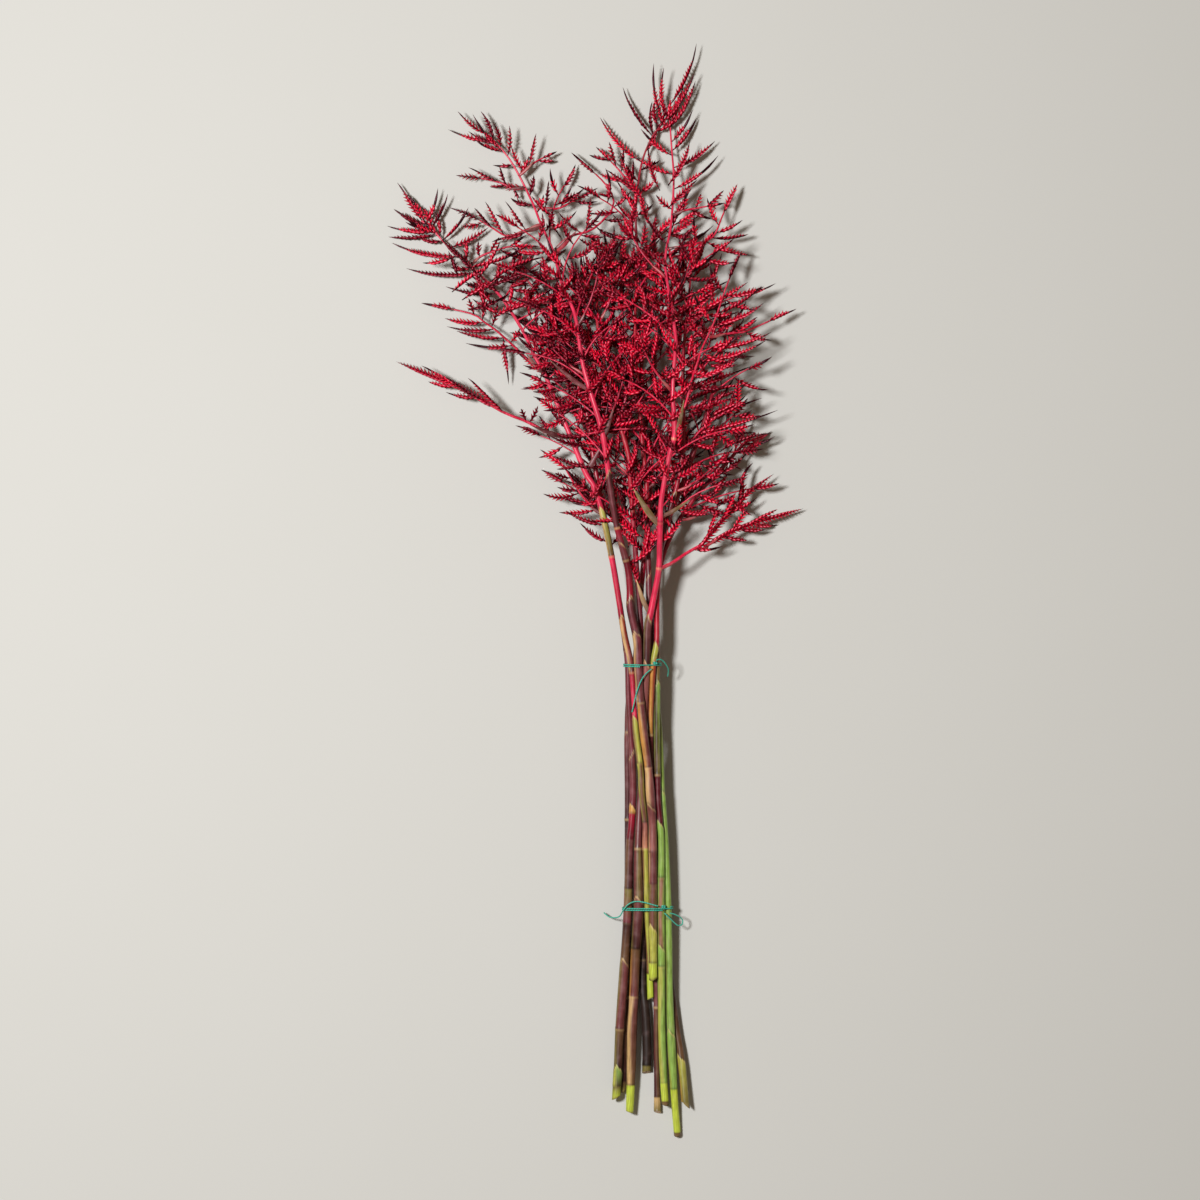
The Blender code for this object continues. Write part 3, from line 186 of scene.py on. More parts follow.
# The side branches that spread out of the bunch: stem, the branch's line of x, y, height from the
# stem outwards, and its flower spikes as foot x, y, tip x, y, and the rise from foot to tip.
BRANCHES = (
    ("stem_a", ((-24, 152, 62), (-46, 156, 60), (-67, 168, 57), (-90, 177, 53), (-111, 189, 49),
                (-128, 199, 46), (-148, 208, 42), (-167, 216, 38), (-200, 230, 31)),
     ((-66, 168, -57, 184, 6), (-69, 169, -74, 181, 8), (-91, 178, -127, 212, 6),
      (-112, 190, -150, 213, 10), (-130, 200, -174, 225, 5), (-140, 204, -168, 210, -8),
      (-118, 193, -150, 199, -10))),
    ("stem_a", ((-50, 215, 62), (-60, 224, 58), (-70, 233, 54), (-82, 245, 50), (-92, 254, 47),
                (-101, 262, 45), (-110, 268, 42), (-125, 278, 39), (-175, 289, 27)),
     ((-82, 245, -130, 248, -12), (-85, 248, -75, 262, 8), (-91, 253, -139, 260, -4),
      (-92, 254, -87, 207, -16), (-101, 262, -149, 265, -8), (-104, 264, -98, 289, 8),
      (-111, 269, -151, 273, -2), (-114, 271, -113, 295, 6), (-122, 276, -127, 293, 6))),
    ("stem_a", ((-126, 326, 43), (-114, 336, 46), (-100, 341, 48), (-85, 345, 49), (-56, 345, 50)),
     ((-116, 335, -117, 350, 8), (-106, 339, -96, 354, 10), (-95, 342, -72, 333, -6),
      (-86, 345, -69, 356, 6))),
    ("stem_a", ((8, 74, 54), (-3, 82, 50), (-17, 100, 46), (-26, 115, 42), (-33, 125, 40),
                (-55, 141, 34)),
     ((-8, 88, -34, 93, -10), (-17, 100, -38, 103, -4), (-24, 112, -40, 117, 8),
      (-14, 96, -10, 116, 8))),
    ("stem_b", ((-76, 416, 60), (-66, 426, 59), (-55, 433, 57), (-38, 441, 52)),
     ((-67, 425, -59, 458, 8), (-71, 421, -84, 445, 8), (-57, 432, -40, 432, -8))),
    ("stem_b", ((-68, 405, 64), (-82, 403, 60), (-94, 409, 56), (-115, 414, 52),
                (-140, 417, 46)),
     ((-82, 403, -76, 394, -6), (-90, 407, -106, 406, -8), (-98, 410, -127, 424, 4),
      (-90, 407, -96, 425, 8))),
    ("stem_b", ((-61, 385, 67), (-49, 383, 65), (-36, 383, 62), (-21, 391, 58), (3, 404, 50)),
     ((-50, 383, -46, 410, 10), (-47, 383, -33, 353, -16), (-35, 384, -23, 404, 8),
      (-22, 391, 3, 391, -10), (-28, 387, -14, 398, 8))),
    ("stem_b", ((-54, 366, 72), (-72, 360, 67), (-88, 355, 62), (-105, 365, 57), (-124, 376, 52),
                (-147, 385, 44)),
     ((-69, 361, -90, 389, 10), (-91, 357, -110, 389, 10), (-103, 364, -121, 383, 10),
      (-80, 357, -104, 350, -12), (-113, 370, -134, 366, -6))),
    ("stem_b", ((-42, 339, 77), (-25, 354, 76), (-8, 358, 74), (4, 366, 72), (13, 376, 69),
                (19, 388, 66), (10, 408, 60), (-24, 440, 48)),
     ((-13, 357, -37, 378, 4), (-9, 358, -4, 393, 10), (9, 371, 32, 372, -12),
      (17, 384, 36, 400, -6), (16, 394, 4, 396, 10), (1, 364, 22, 352, -14))),
    ("stem_c", ((77, 376, 77), (90, 380, 76), (105, 383, 74), (130, 388, 68)),
     ((88, 380, 92, 400, 8), (101, 382, 106, 396, 10), (96, 381, 118, 372, -10),
      (112, 385, 129, 400, 4))),
    ("stem_c", ((74, 340, 83), (96, 345, 78), (110, 349, 74), (120, 356, 70), (128, 376, 64),
                (143, 408, 54)),
     ((102, 347, 99, 374, 12), (110, 349, 157, 336, -18), (117, 353, 154, 357, -12),
      (121, 358, 148, 371, -6), (124, 366, 112, 392, 6))),
    ("stem_c", ((64, 21, 56), (77, 27, 52), (93, 38, 48), (106, 45, 44), (112, 52, 42),
                (119, 60, 40), (132, 75, 36), (146, 88, 32), (154, 98, 30), (180, 117, 24)),
     ((110, 50, 125, 89, 6), (126, 68, 141, 98, 8), (135, 78, 163, 93, -6),
      (143, 85, 147, 107, 8), (150, 93, 149, 111, 6), (98, 41, 128, 44, -10))),
    ("stem_c", ((79, 157, 84), (88, 178, 90), (93, 196, 93), (96, 209, 94), (101, 223, 94),
                (105, 237, 92), (110, 248, 90), (117, 263, 86), (122, 276, 82), (127, 291, 78),
                (133, 308, 72), (147, 340, 62)),
     ((96, 209, 145, 232, -12), (99, 218, 78, 240, 10), (102, 227, 171, 249, -22),
      (106, 239, 176, 257, -20), (110, 248, 88, 276, 12), (117, 263, 169, 287, -20),
      (122, 276, 167, 304, -14), (118, 265, 97, 297, 10), (128, 293, 181, 307, -16),
      (129, 296, 113, 327, 6))),
    ("stem_j", ((43, 396, 43), (36, 405, 42), (26, 420, 41), (14, 433, 39), (1, 446, 36)),
     ((36, 405, 38, 432, 8), (31, 412, 4, 419, -6), (26, 420, 28, 444, 8),
      (21, 425, 14, 450, 8), (14, 433, -6, 438, -2))),
)

# The longest side branch of stem_c forks near its middle: this is the lower arm of the fork.
FORKS = (
    ("stem_c", ((112, 45, 39), (124, 52, 36), (137, 59, 33), (152, 65, 30), (164, 69, 28),
                (210, 82, 20)),
     ((128, 55, 153, 50, -8), (137, 59, 153, 82, 6), (143, 61, 172, 61, -8),
      (150, 64, 183, 81, 4), (157, 67, 184, 66, -60))),
    ("stem_c", ((116, 252, 84), (130, 255, 78), (142, 257, 74), (152, 259, 70), (202, 282, 54)),
     ((132, 255, 146, 240, -10), (140, 257, 162, 272, 6), (150, 258, 177, 250, -12))),
)

# Side branches inside the bunch: stem, where they leave it, side (-1 left, 1 right), length, rise.
GROWN = (
    ("stem_b", 158, 1, 82, -6), ("stem_b", 212, -1, 64, -16), ("stem_b", 262, 1, 84, 8),
    ("stem_h", 113, -1, 66, -12), ("stem_h", 170, 1, 84, 10), ("stem_h", 220, -1, 86, -10),
    ("stem_h", 266, 1, 70, 2),
    ("stem_g", 100, 1, 70, 8), ("stem_g", 185, -1, 84, 12), ("stem_g", 245, 1, 76, -4),
    ("stem_i", 135, 1, 62, -6), ("stem_i", 200, -1, 60, -12), ("stem_i", 250, 1, 82, -8),
    ("stem_j", 150, -1, 80, -10), ("stem_j", 215, 1, 84, -12), ("stem_j", 290, -1, 84, -6),
    ("stem_d", 98, 1, 66, -6), ("stem_d", 150, -1, 72, 6), ("stem_d", 205, 1, 76, -16),
    ("stem_d", 262, -1, 74, -2),
    ("stem_e", 95, 1, 74, -6), ("stem_e", 150, 1, 66, -14),
    ("stem_f", 70, 1, 62, -8),
    ("stem_c", 195, -1, 74, 4), ("stem_c", 286, 1, 72, -6), ("stem_c", 310, -1, 80, -6),
)

# Flower spikes and bracts that grow straight from a stem: foot x, y, tip x, y, rise.
STEM_SPIKES = {
    "stem_a": (
        (11, 47, -15, 67, -10), (7, 64, -30, 79, -12), (-98, 297, -150, 305, -8),
        (-120, 318, -190, 324, -10), (-137, 336, -205, 350, -10), (-147, 345, -107, 365, 6),
        (-154, 352, -127, 384, 8), (-160, 358, -208, 356, -60), (-166, 364, -148, 398, 8),
        (-163, 361, -210, 367, -6), (-171, 369, -158, 404, 6), (-170, 368, -203, 384, -8),
        (-173, 371, -199, 410, 2),
    ),
    "stem_b": (
        (-34, 315, -60, 330, -8), (-83, 428, -103, 428, -10), (-88, 436, -86, 466, 8),
        (-92, 441, -123, 478, 6), (-101, 451, -148, 464, -8), (-108, 458, -138, 481, 4),
    ),
    "stem_c": (
        (68, 320, 92, 318, -14), (72, 345, 52, 372, -6), (80, 402, 124, 437, -10),
        (78, 417, 38, 436, -8), (79, 424, 121, 452, -8), (77, 437, 46, 463, -4),
        (77, 442, 102, 475, -8), (77, 450, 98, 482, 6), (76, 465, 101, 512, 2),
        (75, 478, 100, 520, 8), (76, 488, 102, 550, 4),
    ),
    "stem_d": (
        (92, 275, 118, 300, -12), (94, 295, 72, 322, -8), (96, 318, 122, 332, -12),
        (97, 325, 88, 358, 4),
    ),
    "stem_e": (
        (108, 166, 152, 196, -12), (113, 184, 140, 214, -10), (116, 192, 154, 208, -14),
        (120, 208, 100, 236, -8), (128, 240, 160, 236, -60), (131, 255, 163, 272, -16),
        (133, 262, 118, 292, 4),
    ),
    "stem_f": (
        (104, 84, 138, 112, -60), (122, 113, 155, 140, -12), (126, 120, 112, 146, -10),
        (140, 137, 172, 152, -12), (147, 145, 135, 176, -2), (152, 150, 178, 160, -60),
    ),
    "stem_g": (
        (56, 35, 34, 62, -10), (41, 232, 14, 256, -6), (41, 285, 66, 306, -8),
        (41, 300, 22, 322, -2), (40, 318, 60, 345, -4),
    ),
    "stem_h": (
        (39, 62, 62, 88, 6), (9, 228, -18, 246, -8), (2, 280, 26, 300, 4), (3, 296, -20, 322, -4),
        (8, 330, 28, 352, -2),
    ),
    "stem_i": (
        (15, 44, 33, 68, -10), (-20, 222, -46, 228, -60), (-45, 278, -24, 300, -6),
        (-52, 290, -88, 296, -12), (-64, 307, -46, 326, -4), (-70, 314, -104, 318, -60),
        (-79, 323, -62, 340, -2),
    ),
    "stem_j": (
        (52, 60, 66, 92, -60), (49, 160, 30, 186, -60), (47, 240, 24, 262, -60),
        (46, 235, 72, 252, -14), (48, 300, 26, 322, -12), (44, 335, 66, 354, -8),
        (41, 370, 20, 392, -12), (47, 430, 5, 476, -8), (50, 440, 64, 472, 6),
        (58, 456, 28, 506, -4), (68, 474, 59, 529, 6), (70, 478, 69, 524, 12),
    ),
}
BRACTS = {
    "stem_a": ((-10, 118, 6, 143, 6), (-24, 152, -64, 163, 6), (-50, 215, -69, 236, 2)),
    "stem_b": ((-5, 198, -45, 228, 8), (8, 152, 18, 180, 8), (-54, 364, -77, 356, 6),
               (-41, 336, -17, 359, 6)),
    "stem_c": ((55.5, -25, 41, 11, 6), (65, 64, 38, 101, 8), (65.5, 72, 95, 90, -4),
               (77.5, 150, 88, 188, 10)),
}

# Each tie: where it goes round the stalks, the place of its knot across them, and its turns.
TIES = {"upper_tie": (-75.0, 60.0, 2, 1.7), "lower_tie": (-319.5, 68.5, 2, 1.7)}
# The free tails of the string, each from its knot outwards: x, y, height.
TAILS = {
    "upper_tie_short_tail": (
        (61, -70.2, 46.5), (66, -69.5, 44), (71, -74.5, 38.5), (73.5, -80, 32), (73, -86.5, 24.5),
    ),
    "upper_tie_long_tail": (
        (56.5, -78.6, 47), (48, -87, 49.2), (42, -101, 48.8), (37, -122, 43.8),
    ),
    "lower_tie_tail": (
        (63.2, -316.6, 32.6), (58, -315.2, 33.5), (50, -313, 33), (41, -312, 31.6),
        (34, -314.5, 31), (29, -320, 29), (24, -328, 22), (15, -329, 13), (9, -325, 6),
    ),
    "lower_tie_loop": (
        (69.5, -323.8, 28.9), (75, -329, 27), (82, -336, 22), (87, -336.5, 20),
        (87.5, -330.5, 20.5), (81, -325.8, 25), (75, -324, 27.4),
    ),
}

# ---- measures of the looks ------------------------------------------------------------------

STALK_RING_GAP = 2.0
STALK_SIDES = 20
STALK_WAVES = (0.025, 17.0)  # share of the radius, and millimetres along the stalk
STALK_RIDGES = (0.02, 5, 90.0)  # share of the radius, how many round it, and their slow twist
NODE_SWELLING = 0.45
NODE_REACH = 3.0
NODE_SHADOW = 0.55
SHEATH_STEP = 0.3
SHEATH_REACH = 60.0
SHEATH_POINT = 13.0
DRY_TIP = (0.75, 2.6)  # how dry a sheath's tip is, and how far down
DRY_RING = (0.6, 1.8)  # and a joint's ring
STREAK_PLACE = 0.9  # round the stalk from where its sheath's tip faces, in radians
STREAK_SWAY = (0.3, 19.0)
STREAK_HALF = 0.62
STREAK_STRENGTH = 0.85
CUT_RIM = 0.86  # the pith's share of the stalk at its cut end
CUT_STEP = 0.25  # how far the pith is sunk at its rim, and again at its middle
CUT_DRYNESS = 0.4
BRANCH_BASE_RADIUS = 1.5
CHAIN_BASE_RADIUS = 2.2
BRANCH_END_RADIUS = 0.85
TWIG_RADII = (1.05, 0.7)
TWIG_LENGTHS = (42, 66)
BRANCH_ROOT = 3.5  # how far a branch reaches into its stem
LONGEST_END_SPIKE = 36.0  # at the end of a branch
STEM_TIP = 24.0  # the spike at the end of a stem
SPIKE_POINTS = 9
SMOOTH_SHARE = 0.22  # of the spikes, those with a long smooth tip
SMOOTH_TIPS = (0.5, 0.7)  # where the tip begins on those, as a share of the spike
PLAIN_TIPS = (0.72, 0.9)  # and on the others
RANK_SPREAD = (1.2, 2.1)  # from one rank of bracts to the other, round the spike, in radians
RANK_WOBBLE = 0.3
TONE_WOBBLE = 0.24
LEAF_POINTS = 14
LEAF_SIDES = 12
# A stalk is this much slimmer than its solid among the flowers, from this y to this y.
HEAD_TAPER_Y = (120.0, 400.0)
HEAD_TAPER = (1.0, 0.7)
# The lowest and highest x, y and height that a flower's middle line may have.
ROOM_LOW = (-209.5, -549.0, 3.4)
ROOM_HIGH = (209.5, 549.5, 99.0)

# Height along each stalk, from the cut end upwards, at which a stretch of colour ends, how its
# edge runs (a ring at a joint, the slanted tip of a leaf sheath, or a soft change), the
# stretch's colours at its lower and upper end, and of a streak along it where it has one.
STALK_STRETCHES = {
    "stem_a": (
        (-385, "soft", "lime", "lime"), (-259, "ring", "yellow_green", "yellow_green", "wine"),
        (-232, "soft", "tan_pink", "pink_brown"), (-173, "ring", "olive", "yellow_green", "mauve"),
        (-124, "tip", "yellow_green", "yellow_green", "mauve"), (-82, "ring", "coral", "crimson"),
        (-24, "tip", "mauve", "rust", "tan"), (34, "ring", "crimson", "coral"),
        (84, "tip", "brown", "yellow_green", "tan"), (152, "ring", "coral", "coral"),
        (400, "soft", "coral", "coral"),
    ),
    "stem_b": (
        (-374, "ring", "lime", "lime"), (-335, "tip", "yellow_green", "yellow_green", "mauve"),
        (-295, "soft", "olive", "olive", "mauve"), (-262, "ring", "mauve", "mauve", "tan"),
        (-212, "tip", "pink_brown", "mauve", "tan"), (-177, "ring", "mauve", "pink_brown", "tan"),
        (-112, "ring", "mauve", "mauve", "ochre"), (-40, "tip", "mauve", "wine", "tan"),
        (-5, "tip", "dark_mauve", "dark_mauve", "wine"), (30, "ring", "crimson", "dark_red"),
        (50, "tip", "mauve", "wine"), (62, "ring", "wine", "crimson"),
        (120, "tip", "dark_mauve", "dark_mauve", "wine"), (500, "soft", "coral", "coral"),
    ),
    "stem_c": (
        (-498, "soft", "lime", "lime"), (-408, "ring", "brown", "mauve", "tan"),
        (-360, "soft", "mauve", "brown", "ochre"), (-306, "tip", "dark_mauve", "mauve", "olive"),
        (-259, "ring", "mauve", "mauve", "olive"), (-140, "tip", "mauve", "mauve", "tan"),
        (-70, "tip", "mauve", "pink_brown", "wine"), (-24, "tip", "dark_mauve", "mauve", "olive"),
        (22, "ring", "coral", "coral"), (68, "ring", "coral", "coral"),
        (150, "ring", "coral", "coral"), (560, "soft", "coral", "coral"),
    ),
    "stem_d": (
        (-512, "soft", "olive", "tan"), (-420, "ring", "dark_mauve", "mauve", "brown"),
        (-330, "ring", "mauve", "dark_mauve"), (-240, "ring", "dark_red", "mauve"),
        (-145, "ring", "dark_red", "dark_red"), (-67, "tip", "mauve", "rust", "ochre"),
        (-50, "tip", "yellow_green", "yellow_green"), (20, "ring", "red", "red"),
        (100, "tip", "wine", "dark_red"), (400, "soft", "crimson", "crimson"),
    ),
    "stem_e": (
        (-514, "soft", "brown", "brown"), (-497, "soft", "lime", "lime"),
        (-378, "ring", "green", "green", "yellow_green"), (-352, "tip", "green", "green", "tan"),
        (-288, "ring", "green", "green", "pink_brown"), (-229, "tip", "green", "green"),
        (-185, "ring", "dark_red", "dark_red"), (-90, "tip", "olive", "green", "dark_mauve"),
        (-20, "tip", "olive", "pink_brown", "dark_red"), (300, "soft", "crimson", "crimson"),
    ),
    "stem_f": (
        (-546, "soft", "brown", "brown"), (-502, "soft", "lime", "lime"),
        (-441, "tip", "green", "green", "yellow_green"), (-330, "ring", "green", "green", "olive"),
        (-200, "tip", "green", "green"), (-100, "ring", "green", "olive", "mauve"),
        (-20, "tip", "dark_red", "mauve"), (200, "soft", "crimson", "crimson"),
    ),
    "stem_g": (
        (-466, "tip", "olive", "yellow_green", "ochre"), (-380, "ring", "brown", "dark_mauve"),
        (-290, "ring", "olive_brown", "brown"), (-200, "tip", "dark_mauve", "olive"),
        (-74, "ring", "dark_mauve", "mauve"), (20, "tip", "mauve", "wine"),
        (90, "ring", "dark_red", "crimson"), (400, "soft", "red", "red"),
    ),
    "stem_h": (
        (-478, "soft", "olive", "olive"), (-371, "ring", "black_brown", "black_brown"),
        (-290, "tip", "black_brown", "dark_mauve"), (-200, "ring", "dark_mauve", "mauve"),
        (-100, "tip", "mauve", "dark_mauve"), (10, "ring", "dark_red", "wine"),
        (80, "ring", "wine", "crimson"), (400, "soft", "red", "red"),
    ),
    "stem_i": (
        (-500, "soft", "lime", "olive"), (-477, "tip", "dark_mauve", "green", "yellow_green"),
        (-441, "ring", "dark_mauve", "brown", "olive"), (-369, "tip", "mauve", "mauve", "olive"),
        (-333, "ring", "brown", "dark_mauve"), (-300, "soft", "wine", "olive", "crimson"),
        (-249, "ring", "dark_mauve", "mauve", "brown"), (-224, "soft", "dark_red", "crimson"),
        (-213, "tip", "ochre", "ochre", "dark_red"), (-160, "tip", "wine", "mauve"),
        (-60, "ring", "mauve", "mauve", "wine"), (-10, "tip", "mauve", "wine"),
        (400, "soft", "crimson", "crimson"),
    ),
    "stem_j": (
        (-495, "soft", "olive", "brown"), (-410, "ring", "dark_mauve", "brown"),
        (-320, "tip", "brown", "dark_mauve"), (-230, "ring", "dark_mauve", "dark_mauve"),
        (-140, "tip", "dark_mauve", "mauve"), (-50, "ring", "mauve", "wine"),
        (10, "tip", "dark_mauve", "wine"), (560, "soft", "crimson", "crimson"),
    ),
}
# The large leafy bracts of a stem, in the order of the table above: tint at the foot and at the
# tip, half the width, and how dry the margins are.
LARGE_BRACTS = {
    "stem_a": (("dark_red", "wine", 3.0, 0.2), ("dark_mauve", "wine", 2.8, 0.3),
               ("wine", "pink_brown", 2.2, 0.3)),
    "stem_b": (("wine", "dark_red", 2.6, 0.3), ("dark_mauve", "wine", 2.4, 0.3),
               ("wine", "pink_brown", 2.0, 0.3), ("red", "wine", 2.2, 0.2)),
    "stem_c": (("dark_mauve", "tan", 2.6, 0.9), ("olive_brown", "olive", 3.4, 0.95),
               ("dark_red", "olive", 2.3, 0.7), ("dark_red", "olive", 2.4, 0.6)),
}
SMALL_BRACTS = (("crimson", "pink_brown"), ("dark_red", "wine"), ("crimson", "red"))
# How the cut end of each stalk slants: its reach along the stalk, and which way.
CUT_SLANTS = {
    "stem_a": (1.5, 200), "stem_b": (2.5, 120), "stem_c": (1.0, 20), "stem_d": (2.0, 300),
    "stem_e": (2.0, 60), "stem_f": (1.5, 100), "stem_g": (5.0, 20), "stem_h": (2.0, 250),
    "stem_i": (3.0, 160), "stem_j": (2.0, 90),
}


class Head(typing.NamedTuple):
    """How full and how bright a stem's flower head is."""

    tone: float  # of its spikes: 0 is deep maroon and 1 is bright coral red
    size: float  # of its spikes, next to a full-grown one
    twigs: tuple  # its filler twigs: from this y to this y, one every so many millimetres
    over: tuple = (0, 0, 0)  # spikes that lie across its stalk: from y to y, and how many
    # Spikes under the head get a very dark tone as painted shade of the deep middle.
    under: int = 0  # its dark spikes that fill the middle of the bunch from below


HEADS = {
    "stem_a": Head(0.42, 0.95, (150, 300, 13), (100, 245, 7)),
    "stem_b": Head(0.4, 0.82, (130, 350, 21), (130, 330, 7)),
    "stem_c": Head(0.62, 0.95, (130, 300, 36), (120, 320, 9)),
    "stem_d": Head(0.55, 0.95, (70, 300, 30), (50, 130, 5), 26),
    "stem_e": Head(0.5, 0.95, (120, 220, 36)),
    "stem_f": Head(0.5, 0.95, (80, 81, 40)),
    "stem_g": Head(0.6, 1.0, (60, 300, 28), (45, 140, 7), 26),
    "stem_h": Head(0.6, 1.0, (60, 310, 28), (30, 120, 8), 24),
    "stem_i": Head(0.36, 0.9, (70, 270, 26)),
    "stem_j": Head(0.5, 0.86, (80, 380, 34)),
}
# The dark spikes fill the middle from this y to this y, where it reaches from left to right.
UNDER_Y = (55, 300)
UNDER_LEFT = (5, -65)
UNDER_RIGHT = (72, 105)
# Painted shade: the very dark tone of the spikes low in the middle.
UNDER_SHADE_TONE = 0.12
# Side branches that are flower spikes themselves from this share of their length outwards.
CHAINED = {"stem_a_branch_1": 0.42, "stem_c_branch_3": 0.24, "stem_c_branch_5": 0.0}
# Side branches with their own spikes only.
SPARSE = ("stem_f_branch_1", "stem_e_branch_1", "stem_d_branch_1")
# How far a side twig or spike leaves its shoot's direction, in degrees, and how steeply it rises.
TWIG_ANGLES = (38, 58)
CROSSWISE_ANGLES = (85, 125)
SPIKE_ANGLES = (36, 58)
CLUSTER_ANGLES = (16, 34)
OVER_ANGLES = (25, 60)
UNDER_ANGLES = (-22, 22)
SIDE_RISES = (-0.35, 0.4)
# Long spikes beside the main ones: height at the foot and tip, then x and y of foot and tip.
LONG_SPIKES = {
    "stem_c": (54, 38, (
        (92, 154, 183, 180), (111, 170, 153, 189), (83, 144, 143, 160), (124, 138, 175, 157),
        (86, 186, 153, 205), (89, 176, 150, 197), (41, 119, 99, 120), (83, 96, 134, 122),
        (77, 190, 129, 218), (95, 198, 157, 224), (105, 162, 167, 192), (77, 272, 127, 304),
        (81, 260, 147, 290), (73, 300, 119, 332), (85, 245, 140, 268), (105, 294, 127, 338),
        (95, 310, 113, 350), (95, 272, 153, 308), (77, 290, 103, 328),
    )),
    "stem_j": (32, 24, (
        (45, 370, 21, 412), (57, 362, 45, 408), (50, 345, 17, 378), (53, 385, 25, 440),
        (65, 400, 53, 450), (45, 394, 11, 422),
    )),
    "stem_d": (36, 26, (
        (55, 345, 95, 385), (69, 352, 107, 378), (73, 335, 119, 366), (73, 382, 103, 412),
        (73, 405, 95, 450), (77, 362, 95, 400),
    )),
    "stem_a": (40, 28, (
        (-129, 322, -65, 347), (-111, 300, -55, 322), (-105, 308, -50, 334),
        (-117, 312, -95, 350), (-90, 278, -35, 307), (-95, 290, -47, 286),
        (-101, 284, -133, 310), (-109, 294, -125, 332), (-93, 276, -123, 292),
        (-129, 328, -155, 354), (-143, 332, -173, 328), (-121, 318, -143, 344),
        (-133, 290, -93, 314), (-127, 280, -85, 298), (-109, 276, -123, 310), (-143, 298, -109, 324),
        (-95, 298, -127, 318), (-137, 314, -147, 340), (-101, 272, -65, 290),
    )),
    "stem_g": (50, 44, (
        (33, 42, 45, 85), (45, 28, 55, 70), (41, 12, 27, 45), (57, 42, 73, 70),
        (27, 68, 13, 102), (39, 58, 21, 78), (51, 78, 35, 104), (45, 0, 39, 32),
    )),
}


def shade(red, green, blue):
    """A screen colour's red, green and blue, from 0 to 255, as the light that they stand for."""
    parts = [part / 255 for part in (red, green, blue)]
    return tuple(p / 12.92 if p <= 0.04045 else ((p + 0.055) / 1.055) ** 2.4 for p in parts)


STALK_TINTS = {name: np.array(shade(*screen)) for name, screen in {
    "coral": (218, 44, 80), "crimson": (158, 16, 44), "red": (176, 24, 46),
    "dark_red": (88, 14, 26), "wine": (112, 42, 52), "mauve": (108, 54, 54),
    "dark_mauve": (66, 32, 32), "pink_brown": (150, 88, 82), "tan_pink": (184, 124, 96),
    "tan": (204, 168, 112), "rust": (160, 52, 34), "ochre": (196, 140, 62),
    "brown": (104, 74, 48), "olive": (118, 106, 56), "olive_brown": (98, 66, 42),
    "yellow_green": (172, 170, 72), "green": (134, 166, 76), "lime": (184, 198, 66),
    "black_brown": (44, 30, 26),
}.items()}

# ---- lines ----------------------------------------------------------------------------------


def unit(vector):
    return vector / np.linalg.norm(vector)


def clamp(number):
    """The number, kept from 0 to 1."""
    return min(max(number, 0.0), 1.0)


def fade(away, reach):
    """1 at the place itself, falling to 0 at this reach."""
    return clamp(1 - away / reach)


def either_side(random):
    return 1 if random.random() > 0.5 else -1


def some_angle(random, degrees):
    """An angle between these two, in radians."""
    return math.radians(random.uniform(*degrees))


def smooth(points, steps=6):
    """A fine line through the points, bent gently at each of them."""
    p = np.array(points, float)
    p = np.vstack([2 * p[0] - p[1], p, 2 * p[-1] - p[-2]])
    t = np.linspace(0, 1, steps, endpoint=False)[:, None]
    rows = []
    for a, b, c, d in zip(p[:-3], p[1:-2], p[2:-1], p[3:]):
        curve = (2 * b) + (c - a) * t + (2 * a - 5 * b + 4 * c - d) * t * t
        rows.append(0.5 * (curve + (3 * b - a - 3 * c + d) * t * t * t))
    rows.append(p[-2][None])
    return np.vstack(rows)


def lengths(line):
    """How far along the line each of its points is."""
    steps = np.linalg.norm(np.diff(line[:, :3], axis=0), axis=1)
    return np.concatenate([[0], np.cumsum(steps)])


def at_length(line, s):
    """The line's point at one length along it, or its points at several."""
    along = lengths(line)
    return np.array([np.interp(s, along, column) for column in line.T]).T


def at_y(line, y):
    """The line's x, y, height and radius at one y or at several."""
    return np.array([np.interp(y, line[:, 1], column) for column in line.T])


def length_at_y(line, y):
    """How far along the line it passes this y."""
    return float(np.interp(y, line[:, 1], lengths(line)))


def even_line(points, count):
    """The same line with evenly spaced points."""
    points = np.array(points, float)
    return at_length(points, np.linspace(0, lengths(points)[-1], count))


def ahead_of(line, s, reach=4):
    """The direction of a line at this length along it."""
    return unit(at_length(line, s + reach)[:3] - at_length(line, s - reach)[:3])


def nearest_length(line, x, y):
    """How far along the line its point nearest to x, y lies, seen from above."""
    fine = at_length(line, np.arange(0, lengths(line)[-1], 1.0))
    return float(np.argmin(np.hypot(fine[:, 0] - x, fine[:, 1] - y)))


def bulge(share):
    """0 at both ends of a line and 1 in its middle."""
    return 4 * share * (1 - share)


def bowed(foot, tip, bow):
    """A gently bent line from foot to tip."""
    side = unit(np.cross(tip - foot, UP))
    share = np.linspace(0, 1, 7)[:, None]
    return foot + (tip - foot) * share + side * bow * np.linalg.norm(tip - foot) * bulge(share)


def spun(x, y, turn):
    """A flat direction turned to the left."""
    return (x * math.cos(turn) - y * math.sin(turn), x * math.sin(turn) + y * math.cos(turn))


def turned(along, turn, rise):
    """A direction turned sideways in the flat from another, with this much rise."""
    flat = unit(np.array(along[:2], float))
    return unit(np.array([*spun(*flat, turn), rise]))


def headings(points):
    """The direction at each point of a line."""
    along = np.gradient(np.array(points, float), axis=0)
    return along / np.linalg.norm(along, axis=1)[:, None]


def side_frames(points):
    """Sideways and upward axes at each point of a line."""
    along = headings(points)
    side = np.cross(along, UP)
    side[np.linalg.norm(side, axis=1) < 0.05] = (1.0, 0, 0)
    side /= np.linalg.norm(side, axis=1)[:, None]
    return side, np.cross(side, along)


